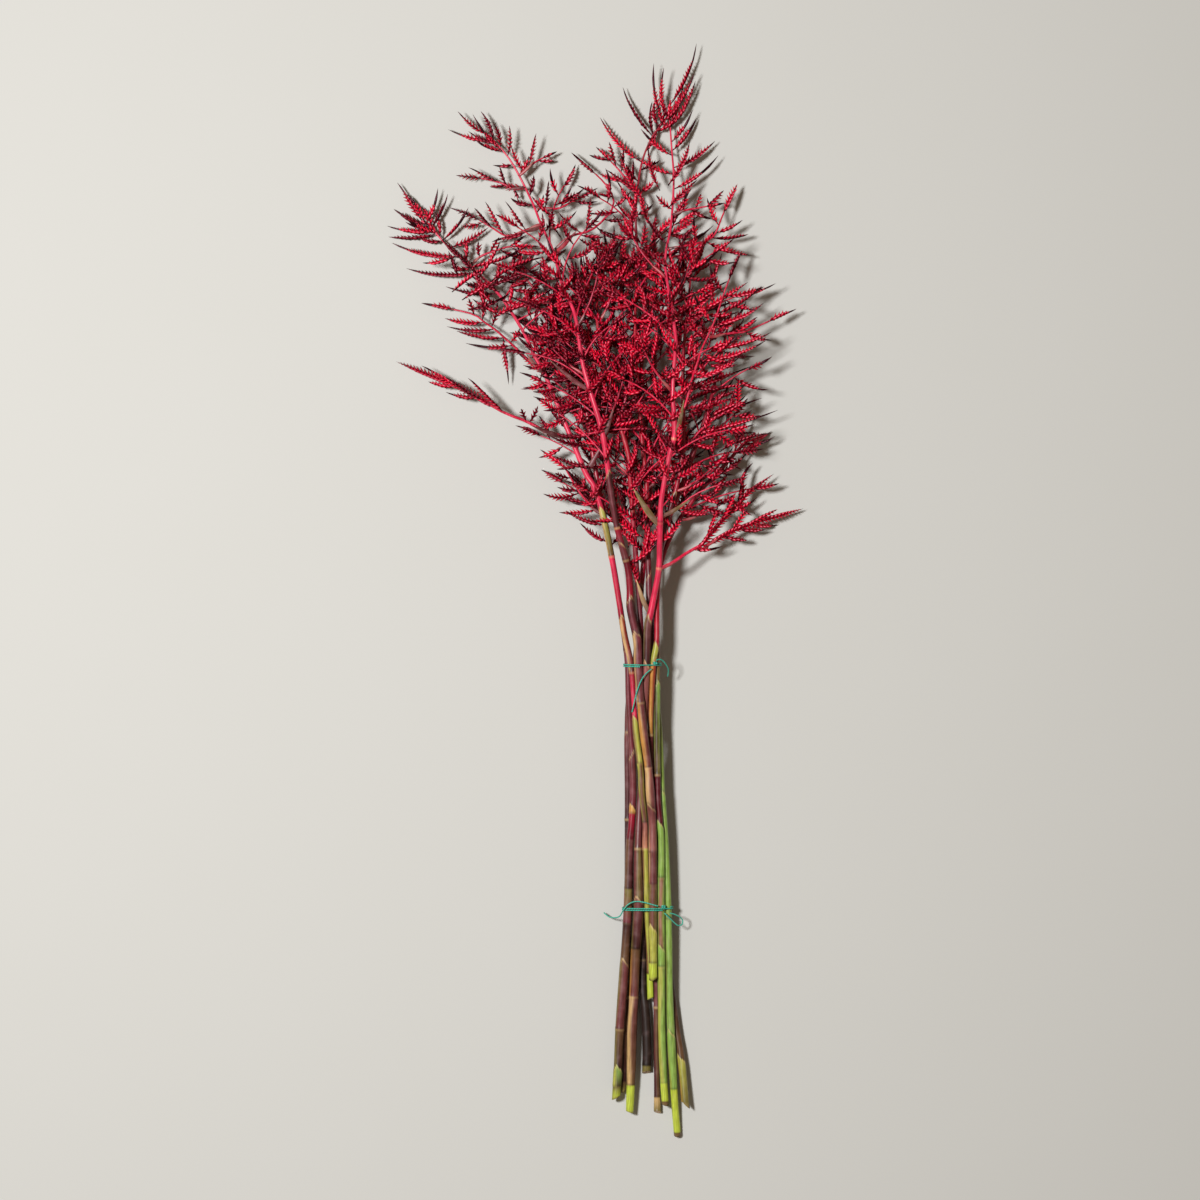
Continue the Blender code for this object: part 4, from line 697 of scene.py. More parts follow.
def running_frames(points):
    """Two axes carried along a line with no twist, for string that winds and loops."""
    along = headings(points)
    side = [unit(np.cross(along[0], (0.1, 0.2, 1.0)))]
    for ahead in along[1:]:
        side.append(unit(side[-1] - ahead * (side[-1] @ ahead)))
    return np.array(side), np.cross(side, along)


# ---- where everything lies ------------------------------------------------------------------


def drooped(points):
    """The same points, lowered where they are far out of the middle of the flowers."""
    p = np.array(points, float)
    up = 0.8 * np.maximum(p[:, 1] - DROOP_MIDDLE[1], 0)
    away = np.hypot(p[:, 0] - DROOP_MIDDLE[0], up) * np.clip(p[:, 1] / DROOP_BEGINS, 0, 1)
    p[:, 2] *= np.interp(away, DROOP_AWAY, DROOP_LEFT)
    return p


@functools.cache
def lay_side_by_side():
    """Fine lines of the stems as x, y, height, radius, with no two stalks sharing any room."""
    lines = {name: drooped(smooth(points)) for name, points in STEMS.items()}
    y = STATIONS
    wanted = np.array([at_y(line, y)[[0, 2, 3]] for line in lines.values()])
    there = np.array([(y >= line[0, 1] - 1) & (y <= line[-1, 1]) for line in lines.values()])
    place = wanted[:, :2].copy()
    radius = wanted[:, 2]
    for turn in range(SETTLING_TURNS):
        for i in range(len(lines)):
            for j in range(i + 1, len(lines)):
                apart = place[i] - place[j]
                distance = np.maximum(np.hypot(*apart), 1e-6)
                short = np.maximum(radius[i] + radius[j] + STALK_GAP - distance, 0)
                push = np.where(there[i] & there[j], 0.5 * short / distance, 0) * apart
                place[i] += push
                place[j] -= push
        place[:, 1] = np.maximum(place[:, 1], radius)
        if turn < EVENING_TURNS:
            moved = place - wanted[:, :2]
            even = moved.copy()
            even[:, :, 1:-1] = 0.5 * moved[:, :, 1:-1] + 0.25 * (moved[:, :, :-2] + moved[:, :, 2:])
            place = wanted[:, :2] + 0.995 * even
    for line, shift, present in zip(lines.values(), place - wanted[:, :2], there):
        line[:, 0] += np.interp(line[:, 1], y[present], shift[0][present])
        line[:, 2] += np.interp(line[:, 1], y[present], shift[1][present])
        line[:, 2] = np.maximum(line[:, 2], line[:, 3])
    return lines


def segment_distance(a, b, starts, ends):
    """Distance from the segment a-b to each of the others."""
    u, v, w = b - a, ends - starts, a - starts
    uu = max(u @ u, 1e-9)
    vv = np.maximum((v * v).sum(1), 1e-9)
    uv, uw, vw = v @ u, w @ u, (v * w).sum(1)
    bottom = uu * vv - uv * uv
    s = np.clip(np.where(bottom > 1e-9, (uv * vw - vv * uw) / np.maximum(bottom, 1e-9), 0.5), 0, 1)
    t = np.clip((uv * s + vw) / vv, 0, 1)
    s = np.clip((uv * t - uw) / uu, 0, 1)
    return np.linalg.norm((a + s[:, None] * u) - (starts + t[:, None] * v), axis=1)


class Room:
    """The room that is already taken, as round rods."""

    def __init__(self):
        self.starts, self.ends = np.zeros((2, 0, 3))
        self.radii = np.zeros(0)
        self.owners = np.zeros(0, str)

    def take(self, owner, path, radii):
        self.starts = np.vstack([self.starts, path[:-1, :3]])
        self.ends = np.vstack([self.ends, path[1:, :3]])
        self.radii = np.append(self.radii, np.maximum(radii[:-1], radii[1:]))
        self.owners = np.append(self.owners, [owner] * (len(path) - 1))

    def is_free(self, path, radii, owner):
        """Whether a rod along the path is clear. Its first piece may leave its owner."""
        for k, (a, b) in enumerate(zip(path[:-1], path[1:])):
            size = max(radii[k], radii[k + 1])
            apart = segment_distance(a, b, self.starts, self.ends) - self.radii - size
            if k == 0:
                apart[self.owners == owner] = GAP
            if (apart < GAP).any():
                return False
        return True


def spike_path(foot, tip):
    """Middle points of a spike and how wide it is there: stalk, widest place, slender tip."""
    long = np.linalg.norm(tip - foot)
    bow = unit(np.cross(tip - foot, UP)) * long * SPIKE_BOW * (1 if tip[0] > foot[0] else -1)
    shares = (0.0, 0.12, 0.38, 0.7, 1.0) if long > LONG_SPIKE else (0.0, 0.12, 0.42, 1.0)
    widths = (0.5, 0.55, 1.0, 0.62, 0.0) if long > LONG_SPIKE else (0.5, 0.55, 1.0, 0.0)
    return np.array([foot + (tip - foot) * f + bow * bulge(f) for f in shares]), np.array(widths)


def place_spike(room, owner, foot, tip, half_width):
    """Finds a free rise for a spike and takes its room. None where there is no room at all."""
    for share in (1.0, 0.85, 0.7):
        for rise in RISES:
            end = foot + (tip - foot) * share + rise * UP
            end[2] = max(end[2], 0.0)
            if np.linalg.norm(end - foot) < SHORTEST_SPIKE:
                continue
            middles, widths = spike_path(foot, end)
            rods = widths * (half_width + ROD_SPARE)
            above_floor = (middles[:-1, 2] >= rods[:-1] + 0.1).all()
            if above_floor and room.is_free(middles[1:], rods[1:], owner):
                room.take(owner, middles[1:], rods[1:])
                return middles
    return None


def leave_stem(line, points):
    """The branch's line, starting clear of its stem's side."""
    points = np.array(points, float)
    s = nearest_length(line, points[0, 0], points[0, 1])
    base = at_length(line, s)
    points[0] = base[:3]
    out = unit(points[1] - points[0])
    cosine = abs(out @ ahead_of(line, s, 3))
    sine = max(math.sqrt(1 - cosine * cosine), 0.35)
    start = points[0] + out * (base[3] + BRANCH_RADIUS * cosine + STALK_GAP) / sine
    return np.vstack([start, [p for p in points[1:] if (p - start) @ out > 2.0]])


def place_branch(room, stem, name, points):
    """Lays a branch in free room, bending it up or down as little as that takes."""
    for rise in RISES:
        moved = points.copy()
        moved[:, 2] += rise * np.clip(lengths(points) / RISE_REACH, 0, 1)
        moved[:, 2] = np.maximum(moved[:, 2], LOWEST_BRANCH)
        line = smooth(moved, 4)
        coarse = line[::4]
        rods = np.full(len(coarse), BRANCH_RADIUS + 0.1)
        if room.is_free(coarse, rods, stem):
            break
    room.take(name, coarse, rods)
    return line


def grown_route(line, y, side, long, rise, random):
    """A side branch that leaves its stem at a slant and bends towards the stem's own direction."""
    along = unit(at_y(line, y + 3)[:3] - at_y(line, y - 3)[:3])
    heading = math.atan2(along[1], along[0]) - side * some_angle(random, GROWN_ANGLES)
    points = [at_y(line, y)[:3]]
    step = long / GROWN_STEPS
    for _ in range(GROWN_STEPS):
        heading += side * some_angle(random, GROWN_BENDS)
        out = (math.cos(heading) * step, math.sin(heading) * step, rise / GROWN_STEPS)
        points.append(points[-1] + np.array(out))
    return np.array(points)


def grown_spikes(line, random):
    """A grown branch's spikes, left and right in turn: foot x, y, tip x, y, and rise."""
    whole = lengths(line)[-1]
    rows = []
    side = either_side(random)
    for share in GROWN_FEET:
        foot = at_length(line, share * whole)
        ahead = unit(at_length(line, share * whole + 3) - foot)
        turn = side * some_angle(random, GROWN_SPIKE_ANGLES)
        long = random.uniform(*GROWN_SPIKE_LENGTHS) * (1.12 - 0.35 * share)
        out = unit(np.array([*spun(*ahead[:2], turn), random.uniform(-0.3, 0.3)]))
        tip = foot + out * long
        rows.append((*foot[:2], *tip[:2], tip[2] - foot[2]))
        side = -side
    return rows


@functools.cache
def lay_out():
    """Every stem, branch and spike of the bunch, each in room of its own."""
    random = np.random.default_rng(7)
    stems = lay_side_by_side()
    room = Room()
    shoots = {name: {"line": line, "spikes": []} for name, line in stems.items()}
    counts = dict.fromkeys(stems, 0)
    for name, line in stems.items():
        room.take(name, line, line[:, 3])

    def add_spikes(owner, rows, half_width):
        line = shoots[owner]["line"]
        for x, y, tip_x, tip_y, rise in rows:
            s = nearest_length(line, x, y)
            foot = at_length(line, s)[:3]
            tip = np.array([tip_x, tip_y, foot[2] + rise])
            middles = place_spike(room, owner, foot, tip, half_width)
            if middles is not None:
                leafy = half_width == BRACT_HALF_WIDTH
                shoots[owner]["spikes"].append({"s": s, "middles": middles, "leafy": leafy})

    def add_branch(stem, points, rows):
        counts[stem] += 1
        name = f"{stem}_branch_{counts[stem]}"
        shoots[name] = {"line": place_branch(room, stem, name, points), "spikes": []}
        add_spikes(name, rows, SPIKE_HALF_WIDTH)

    for stem, route, rows in BRANCHES:
        add_branch(stem, leave_stem(stems[stem], drooped(route)), rows)
    for stem, route, rows in FORKS:
        add_branch(stem, drooped(route), rows)
    for table, half_width in ((BRACTS, BRACT_HALF_WIDTH), (STEM_SPIKES, SPIKE_HALF_WIDTH)):
        for stem, rows in table.items():
            add_spikes(stem, rows, half_width)
    for stem, *way in GROWN:
        points = leave_stem(stems[stem], grown_route(stems[stem], *way, random))
        add_branch(stem, points, grown_spikes(smooth(points, 4), random))
    return shoots


# ---- nodes ----------------------------------------------------------------------------------


def wire(tree, sockets, values):
    """Gives each of these sockets a link or a value."""
    for key, value in values.items():
        if isinstance(value, bpy.types.NodeSocket):
            tree.links.new(value, sockets[key])
        else:
            sockets[key].default_value = value


def node(tree, kind, inputs=None, **settings):
    """Adds a node, with its settings and with values or links for its inputs."""
    made = tree.nodes.new(kind)
    for key, value in settings.items():
        setattr(made, key, value)
    wire(tree, made.inputs, inputs or {})
    return made


def new_group(name, kind, inputs, outputs):
    """A node group from its inputs' names, kinds and defaults, and its outputs' names and kinds."""
    tree = bpy.data.node_groups.new(name, kind)
    for way, rows in (("INPUT", inputs), ("OUTPUT", outputs)):
        for label, socket_kind, *default in rows:
            socket = tree.interface.new_socket(label, in_out=way,
                                               socket_type="NodeSocket" + socket_kind)
            if default:
                socket.default_value = default[0]
    return tree, tree.nodes.new("NodeGroupInput").outputs, tree.nodes.new("NodeGroupOutput").inputs


def attribute(tree, name, output="Fac"):
    return node(tree, "ShaderNodeAttribute", attribute_name=name).outputs[output]


def calc(tree, operation, first, second=0.0, third=0.0):
    made = node(tree, "ShaderNodeMath", {0: first, 1: second, 2: third}, operation=operation)
    return made.outputs[0]


def span(tree, value, low, high, to_low=0.0, to_high=1.0):
    """The value's place between low and high, as a number between the other two."""
    made = node(tree, "ShaderNodeMapRange", {0: value, 1: low, 2: high, 3: to_low, 4: to_high})
    return made.outputs[0]


def blend(tree, factor, first, second, kind="MIX"):
    """Two colours mixed by a factor. Each may be a socket or a colour."""
    pair = [c if isinstance(c, bpy.types.NodeSocket) else (*c, 1.0) for c in (first, second)]
    inputs = {0: factor, 6: pair[0], 7: pair[1]}
    return node(tree, "ShaderNodeMix", inputs, data_type="RGBA", blend_type=kind).outputs[2]


def noise(tree, vector, scale, detail=3.0):
    inputs = {"Vector": vector, "Scale": scale, "Detail": detail, "Roughness": 0.55}
    return node(tree, "ShaderNodeTexNoise", inputs).outputs[0]


def bumped(tree, height, distance, strength):
    inputs = {"Height": height, "Distance": distance, "Strength": strength}
    return node(tree, "ShaderNodeBump", inputs).outputs[0]


# ---- finishes -------------------------------------------------------------------------------


@functools.cache
def plant_skin():
    """Fine lengthwise streaks, pores and soft blotches of a plant's skin."""
    tree, given, out = new_group(
        "Plant skin", "ShaderNodeTree",
        (("Place", "Vector", (0, 0, 0)), ("Streak scale", "Float", 900.0),
         ("Blotch scale", "Float", 120.0), ("Pore scale", "Float", 1600.0)),
        (("Streaks", "Float"), ("Blotches", "Float"), ("Pores", "Float"), ("Height", "Float")))
    stretch = node(tree, "ShaderNodeMapping", {0: given["Place"], 3: (1.0, 0.05, 1.0)}).outputs[0]
    streaks = noise(tree, stretch, given["Streak scale"], 2.0)
    blotches = noise(tree, given["Place"], given["Blotch scale"])
    pores = node(tree, "ShaderNodeTexVoronoi",
                 {"Vector": given["Place"], "Scale": given["Pore scale"]}).outputs[0]
    pits = span(tree, pores, 0.0, 0.35)
    height = calc(tree, "MULTIPLY_ADD", streaks, 0.7, calc(tree, "MULTIPLY", pits, 0.3))
    wire(tree, out, {"Streaks": streaks, "Blotches": blotches, "Pores": pits, "Height": height})
    return tree


def skin_on(tree, place, streaks, blotches, pores):
    """The plant skin's outputs at this place, with the scales of its three patterns."""
    inputs = {"Place": place, "Streak scale": streaks, "Blotch scale": blotches, "Pore scale": pores}
    return node(tree, "ShaderNodeGroup", inputs, node_tree=plant_skin()).outputs


def finish(name):
    """Turns a function that fills a shader's sockets into one that makes its material once."""

    def decorate(build):
        @functools.cache
        def make():
            material = bpy.data.materials.new(name)
            material.use_nodes = True
            tree = material.node_tree
            values = build(tree, bpy.context.scene.stem_bunch)
            wire(tree, tree.nodes["Principled BSDF"].inputs, values)
            return material

        return functools.update_wrapper(make, build)

    return decorate


@finish("Waxy red bracts")
def flower_finish(tree, bunch):
    """Waxy red of the spikes: painted shade at each bract's foot, a painted pink keel highlight."""
    looks = bunch.flowers
    place = node(tree, "ShaderNodeTexCoord").outputs["Object"]
    skin = skin_on(tree, place, 500.0, 90.0, 2200.0)
    names = ("tone", "reach", "keel", "far", "axis")
    tone, reach, keel, far, axis = (attribute(tree, name) for name in names)
    depth = calc(tree, "ADD", tone, span(tree, skin["Blotches"], 0.3, 0.7, -0.16, 0.16))
    body = blend(tree, span(tree, depth, 0.1, 0.9), looks.deep_colour, looks.bright_colour)
    # Painted highlight: a pale pink line along the keel of each bract.
    ridge = span(tree, keel, 0.65, 1.0)
    ridge = calc(tree, "MULTIPLY", ridge, span(tree, reach, 0.15, 0.5))
    keeled = calc(tree, "MULTIPLY", ridge, span(tree, depth, 0.0, 0.9, 0.3, 1.0))
    lit = blend(tree, keeled, body, looks.keel_highlight_colour)
    # Painted shade: each bract darkens towards its foot, where it leaves the spike.
    foot = blend(tree, span(tree, reach, 0.05, 0.5, 1.0, 0.0), lit, looks.shadow_colour)
    dark_tip = calc(tree, "MAXIMUM", span(tree, reach, 0.8, 1.0, 0.0, 0.35),
                    span(tree, far, 0.75, 1.0, 0.0, 0.35))
    dark_tip = calc(tree, "MULTIPLY", dark_tip, span(tree, depth, 0.2, 1.0, 1.0, 0.55))
    tipped = blend(tree, dark_tip, foot, looks.tip_colour)
    bark = blend(tree, span(tree, depth, 0.0, 0.75), looks.axis_dark_colour, looks.coral_colour)
    # Painted highlight: lengthwise streaks on the spike stalks, towards the keel highlight colour.
    streaks = span(tree, skin["Streaks"], 0.45, 0.75, 0.0, 0.3)
    return {
        "Base Color": blend(tree, axis, tipped, blend(tree, streaks, bark, looks.keel_highlight_colour)),
        "Roughness": span(tree, skin["Pores"], 0.0, 1.0, 0.4, 0.28),
        "Specular IOR Level": 0.32, "Specular Tint": (1.0, 0.36, 0.46, 1.0),
        "Normal": bumped(tree, skin["Height"], 0.00012, 0.7),
    }


@finish("Stalk skin")
def stalk_finish(tree, bunch):
    """A stalk's skin: its own tint by place, with streaks, speckles, dry edges and a cut face."""
    looks = bunch.stalks
    uv = node(tree, "ShaderNodeUVMap", uv_map="lengthwise").outputs[0]
    skin = skin_on(tree, uv, 1100.0, 70.0, 1500.0)
    tint = attribute(tree, "tint", "Color")
    edge, cut = attribute(tree, "edge"), attribute(tree, "cut")
    streaks, blotches = skin["Streaks"], skin["Blotches"]
    colour = blend(tree, span(tree, streaks, 0.4, 0.68, 0.0, 0.6), tint, (0.32, 0.26, 0.26), "MULTIPLY")
    colour = blend(tree, span(tree, blotches, 0.25, 0.5, 0.45, 0.0), colour, (0.4, 0.34, 0.34),
                   "MULTIPLY")
    colour = blend(tree, span(tree, blotches, 0.52, 0.78, 0.0, 0.14), colour, looks.bloom_colour)
    colour = blend(tree, span(tree, skin["Pores"], 0.0, 0.5, 0.3, 0.0), colour, looks.speck_colour)
    colour = blend(tree, edge, colour, looks.dry_colour)
    face = blend(tree, span(tree, streaks, 0.35, 0.65), looks.pith_colour, looks.pith_dark_colour)
    colour = blend(tree, cut, colour, face)
    gloss = span(tree, blotches, 0.3, 0.7, 0.3, 0.46)
    return {
        "Base Color": colour, "Roughness": calc(tree, "MULTIPLY_ADD", cut, 0.4, gloss),
        "Specular IOR Level": 0.34, "Coat Weight": 0.06, "Coat Roughness": 0.2,
        "Normal": bumped(tree, skin["Height"], 0.00018, 0.8),
    }


@finish("Leafy bract skin")
def bract_finish(tree, bunch):
    """Large leafy bracts: lengthwise veins, olive to mauve with dry tan margins."""
    looks = bunch.stalks
    uv = node(tree, "ShaderNodeUVMap", uv_map="lengthwise").outputs[0]
    skin = skin_on(tree, uv, 1500.0, 110.0, 1900.0)
    tint = attribute(tree, "tint", "Color")
    edge = attribute(tree, "edge")
    streaks, blotches = skin["Streaks"], skin["Blotches"]
    colour = blend(tree, span(tree, streaks, 0.4, 0.68, 0.0, 0.5), tint, (0.3, 0.26, 0.26), "MULTIPLY")
    colour = blend(tree, span(tree, blotches, 0.45, 0.75, 0.0, 0.3), colour, looks.bloom_colour)
    return {
        "Base Color": blend(tree, edge, colour, looks.dry_colour),
        "Roughness": span(tree, blotches, 0.3, 0.7, 0.34, 0.5),
        "Coat Weight": 0.1, "Coat Roughness": 0.3,
        "Normal": bumped(tree, skin["Height"], 0.00025, 0.9),
    }


@finish("Twisted green string")
def string_finish(tree, bunch):
    """Two plies of thin glossy string twisted round each other, with painted shade in the grooves."""
    looks = bunch.string
    uv = node(tree, "ShaderNodeUVMap", uv_map="lengthwise").outputs[0]
    parts = node(tree, "ShaderNodeSeparateXYZ", {0: uv}).outputs
    turns = calc(tree, "MULTIPLY_ADD", parts[1], 1.0 / looks.twist_length, parts[0])
    wave = calc(tree, "SINE", calc(tree, "MULTIPLY", turns, 4 * math.pi))
    ply = span(tree, wave, -1.0, 1.0)
    fuzz = noise(tree, node(tree, "ShaderNodeTexCoord").outputs["Object"], 2500.0, 2.0)
    # Painted light and shade: the tops of the plies lit, the grooves between them in shade.
    body = blend(tree, ply, looks.groove_shade_colour, looks.string_colour)
    frayed = span(tree, fuzz, 0.5, 0.75, 0.0, 0.6)
    pale = calc(tree, "MULTIPLY", frayed, attribute(tree, "pale"))
    return {
        "Base Color": blend(tree, pale, body, looks.mint_colour),
        "Roughness": span(tree, fuzz, 0.3, 0.7, 0.35, 0.6), "Specular IOR Level": 0.5,
        "Normal": bumped(tree, calc(tree, "MULTIPLY_ADD", fuzz, 0.25, ply), 0.0002, 0.9),
    }


@finish("Pale floor")
def floor_finish(tree, bunch):
    """A plain floor with faint soft clouds in its colour."""
    clouds = noise(tree, node(tree, "ShaderNodeTexCoord").outputs["Object"], 6.0, 2.0)
    pale = blend(tree, span(tree, clouds, 0.3, 0.7, 0.0, 0.06), bunch.stage.floor_colour,
                 (0.45, 0.44, 0.4))
    return {"Base Color": pale, "Roughness": 0.75, "Specular IOR Level": 0.2}


# ---- meshes ---------------------------------------------------------------------------------


def show(name, data):
    """Puts this data into the scene as an object."""
    obj = bpy.data.objects.new(name, data)
    bpy.context.scene.collection.objects.link(obj)
    return obj


def new_mesh(name, corners, edges, faces, values):
    """A mesh with a layer for each of the values, which has one number or colour for a corner."""
    mesh = bpy.data.meshes.new(name)
    mesh.from_pydata([tuple(corner) for corner in corners], edges, faces)
    for key, rows in values.items():
        rows = np.array(rows, float)
        if rows.ndim == 2:
            rows = np.hstack([rows, np.ones((len(rows), 1))])
            layer = mesh.attributes.new(key, "FLOAT_COLOR", "POINT")
            layer.data.foreach_set("color", rows.ravel())
        else:
            mesh.attributes.new(key, "FLOAT", "POINT").data.foreach_set("value", rows)
    return mesh


def round_off(mesh):
    """Shades the whole mesh smooth."""
    mesh.polygons.foreach_set("use_smooth", np.ones(len(mesh.polygons), bool))


def closed_mesh(name, corners, faces, uvs, values, material):
    """A smooth mesh from corners in millimetres, with a lengthwise UV map."""
    mesh = new_mesh(name, np.array(corners) * MM, [], faces, values)
    layer = mesh.uv_layers.new(name="lengthwise")
    layer.data.foreach_set("uv", np.array(uvs, float).ravel() * MM)
    round_off(mesh)
    mesh.materials.append(material)
    mesh.update()
    return show(name, mesh)


def seat(obj, slot, *nodes):
    """Puts a finished piece on the model: it rides the body and stands for its solids."""
    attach(obj, "root")
    if nodes:
        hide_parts(*nodes)


def round_angles(sides):
    """Even angles all round, in radians."""
    return [2 * math.pi * q / sides for q in range(sides)]


def tube(first, along, sides, girth, closed=False):
    """Faces and UVs of a tube whose rings of corners start at the first and lie this far along."""
    faces, uvs = [], []
    count = len(along)
    for k in range(count if closed else count - 1):
        low, high = first + k * sides, first + (k + 1) % count * sides
        near, far = along[k], along[min(k + 1, count - 1)]
        for q in range(sides):
            after = (q + 1) % sides
            faces.append((low + q, low + after, high + after, high + q))
            u, v = girth * q / sides, girth * (q + 1) / sides
            uvs += [(u, near), (v, near), (v, far), (u, far)]
    return faces, uvs


def capped_tube(first, along, sides, girth):
    """The same, with a face over each end."""
    faces, uvs = tube(first, along, sides, girth)
    last = first + (len(along) - 1) * sides
    faces += [tuple(range(first, first + sides))[::-1], tuple(range(last, last + sides))]
    return faces, uvs + [(0.0, 0.0)] * sides + [(0.0, along[-1])] * sides


# ---- the string -----------------------------------------------------------------------------


def string_tube(points, radius, sides=10, first=0, closed=False):
    """Corners, faces and UVs of a string along the points."""
    side, up = running_frames(points)
    corners = [points[k] + radius * (math.cos(angle) * side[k] + math.sin(angle) * up[k])
               for k in range(len(points)) for angle in round_angles(sides)]
    girth = 1 / MM  # one whole turn of the string is one unit of its UV map
    if closed:
        return corners, *tube(first, lengths(points), sides, girth, True)
    return corners, *capped_tube(first, lengths(points), sides, girth)


def make_tail(name):
    """A free end of the string, as one tube at its real length."""
    fine = smooth(TAILS[name], 12)
    route = even_line(fine, max(6, round(lengths(fine)[-1] / (6 * STRING_RADIUS))))
    fine = even_line(smooth(route, 8), 6 * len(route))
    corners, faces, uvs = string_tube(fine, STRING_RADIUS)
    pale = np.full(len(corners), 1.0 if name.startswith("lower") else 0.35)
    obj = closed_mesh(name + "_string", corners, faces, uvs, {"pale": pale}, string_finish())
    seat(obj, "string", name)


def wound_route(stems, y, knot_x, turns, pitch):
    """The string's middle line as it winds round the stalks, the place of its knot, and its way."""
    here = [at_y(line, y) for line in stems.values() if line[0, 1] < y]
    stalks = [(x, z, radius + TIE_GAP + STRING_RADIUS) for x, _, z, radius in here]

    def outermost(angle):
        out = np.array([math.cos(angle), 0, math.sin(angle)])
        x, z, reach = max(stalks, key=lambda stalk: stalk[0] * out[0] + stalk[1] * out[2] + stalk[2])
        return np.array([x, y, z]) + out * reach

    angles = round_angles(TIE_STEPS)
    knot_angle = next(a for a in angles if math.sin(a) > 0 and outermost(a)[0] <= knot_x)
    places = []
    for k in range(2, turns * TIE_STEPS - 1):
        place = outermost(knot_angle + 2 * math.pi * k / TIE_STEPS)
        places.append(place + np.array([0, pitch * (k / TIE_STEPS - turns / 2), 0]))
    knot = outermost(knot_angle) + np.array([0, pitch * turns / 2, 0])
    return np.array(places), knot, np.array([math.cos(knot_angle), 0, math.sin(knot_angle)])


def knot_line(middle, out):
    """A small overhand knot lying on the stalks."""
    turn = np.array(round_angles(72))
    flat = np.array([np.sin(turn) + 2 * np.sin(2 * turn), np.cos(turn) - 2 * np.cos(2 * turn),
                     -1.1 * np.sin(3 * turn)]).T
    axes = np.array([(-out[2], 0, out[0]), (0, 1, 0), out])
    return middle + out * 0.5 + 0.62 * flat @ axes


def make_tie(name):
    """Two turns of string round the stalks and the knot that holds them."""
    places, knot, out = wound_route(lay_side_by_side(), *TIES[name])
    corners, faces, uvs = string_tube(even_line(places, 420), STRING_RADIUS)
    more = string_tube(knot_line(knot, out), KNOT_STRING_RADIUS, 9, len(corners), True)
    pale = np.repeat((0.25, 0.7), (len(corners), len(more[0])))
    obj = closed_mesh(name + "_string", corners + more[0], faces + more[1], uvs + more[2],
                      {"pale": pale}, string_finish())
    seat(obj, "string", name)


# ---- stalks ---------------------------------------------------------------------------------


class Stretch(typing.NamedTuple):
    """A stretch of a stalk between two joints or sheath tips."""

    y: float
    edge: str
    low: np.ndarray
    high: np.ndarray
    facing: float
    streaks: list


def stretches(name, random):
    """The stretches of this stalk, each sheath tip facing its own way."""
    return [
        Stretch(y, edge, STALK_TINTS[low], STALK_TINTS[high], random.uniform(0.1, 0.9) * math.pi,
                [STALK_TINTS[tint] for tint in streaks])
        for y, edge, low, high, *streaks in STALK_STRETCHES[name]]


def turn_between(angle, other):
    """How far apart two directions round a stalk are, in radians."""
    return abs((angle - other + math.pi) % (2 * math.pi) - math.pi)


def edge_at(stretch, angle):
    """The y of a stretch's upper edge on this side of the stalk."""
    if stretch.edge != "tip":
        return stretch.y
    return stretch.y - SHEATH_POINT * (turn_between(angle, stretch.facing) / math.pi) ** 0.8


def skin_at(rows, y, angle, bottom):
    """Tint, dryness and extra radius of the stalk's skin at this y and angle."""
    start = bottom
    for row in rows:
        end = edge_at(row, angle)
        if y <= end or row is rows[-1]:
            break
        start = end
    tint = row.low + (row.high - row.low) * clamp((y - start) / max(end - start, 1.0))
    for streak in row.streaks:
        sway = STREAK_SWAY[0] * math.sin(y / STREAK_SWAY[1])
        away = turn_between(angle, row.facing + STREAK_PLACE + sway)
        tint = tint + (streak - tint) * STREAK_STRENGTH * clamp(1.5 - away / STREAK_HALF)
    dry, extra = 0.0, 0.0
    if row.edge == "tip":
        extra = SHEATH_STEP * fade(end - y, SHEATH_REACH)
        dry = DRY_TIP[0] * fade(end - y, DRY_TIP[1])
    if row.edge == "ring":
        extra = NODE_SWELLING * fade(end - y, NODE_REACH)
        dry = DRY_RING[0] * fade(end - y, DRY_RING[1])
    if start > bottom and row.edge != "soft":
        tint = tint * (1 - NODE_SHADOW * fade(y - start, NODE_REACH))
        extra += 0.6 * NODE_SWELLING * fade(y - start, NODE_REACH)
    return tint, dry, extra


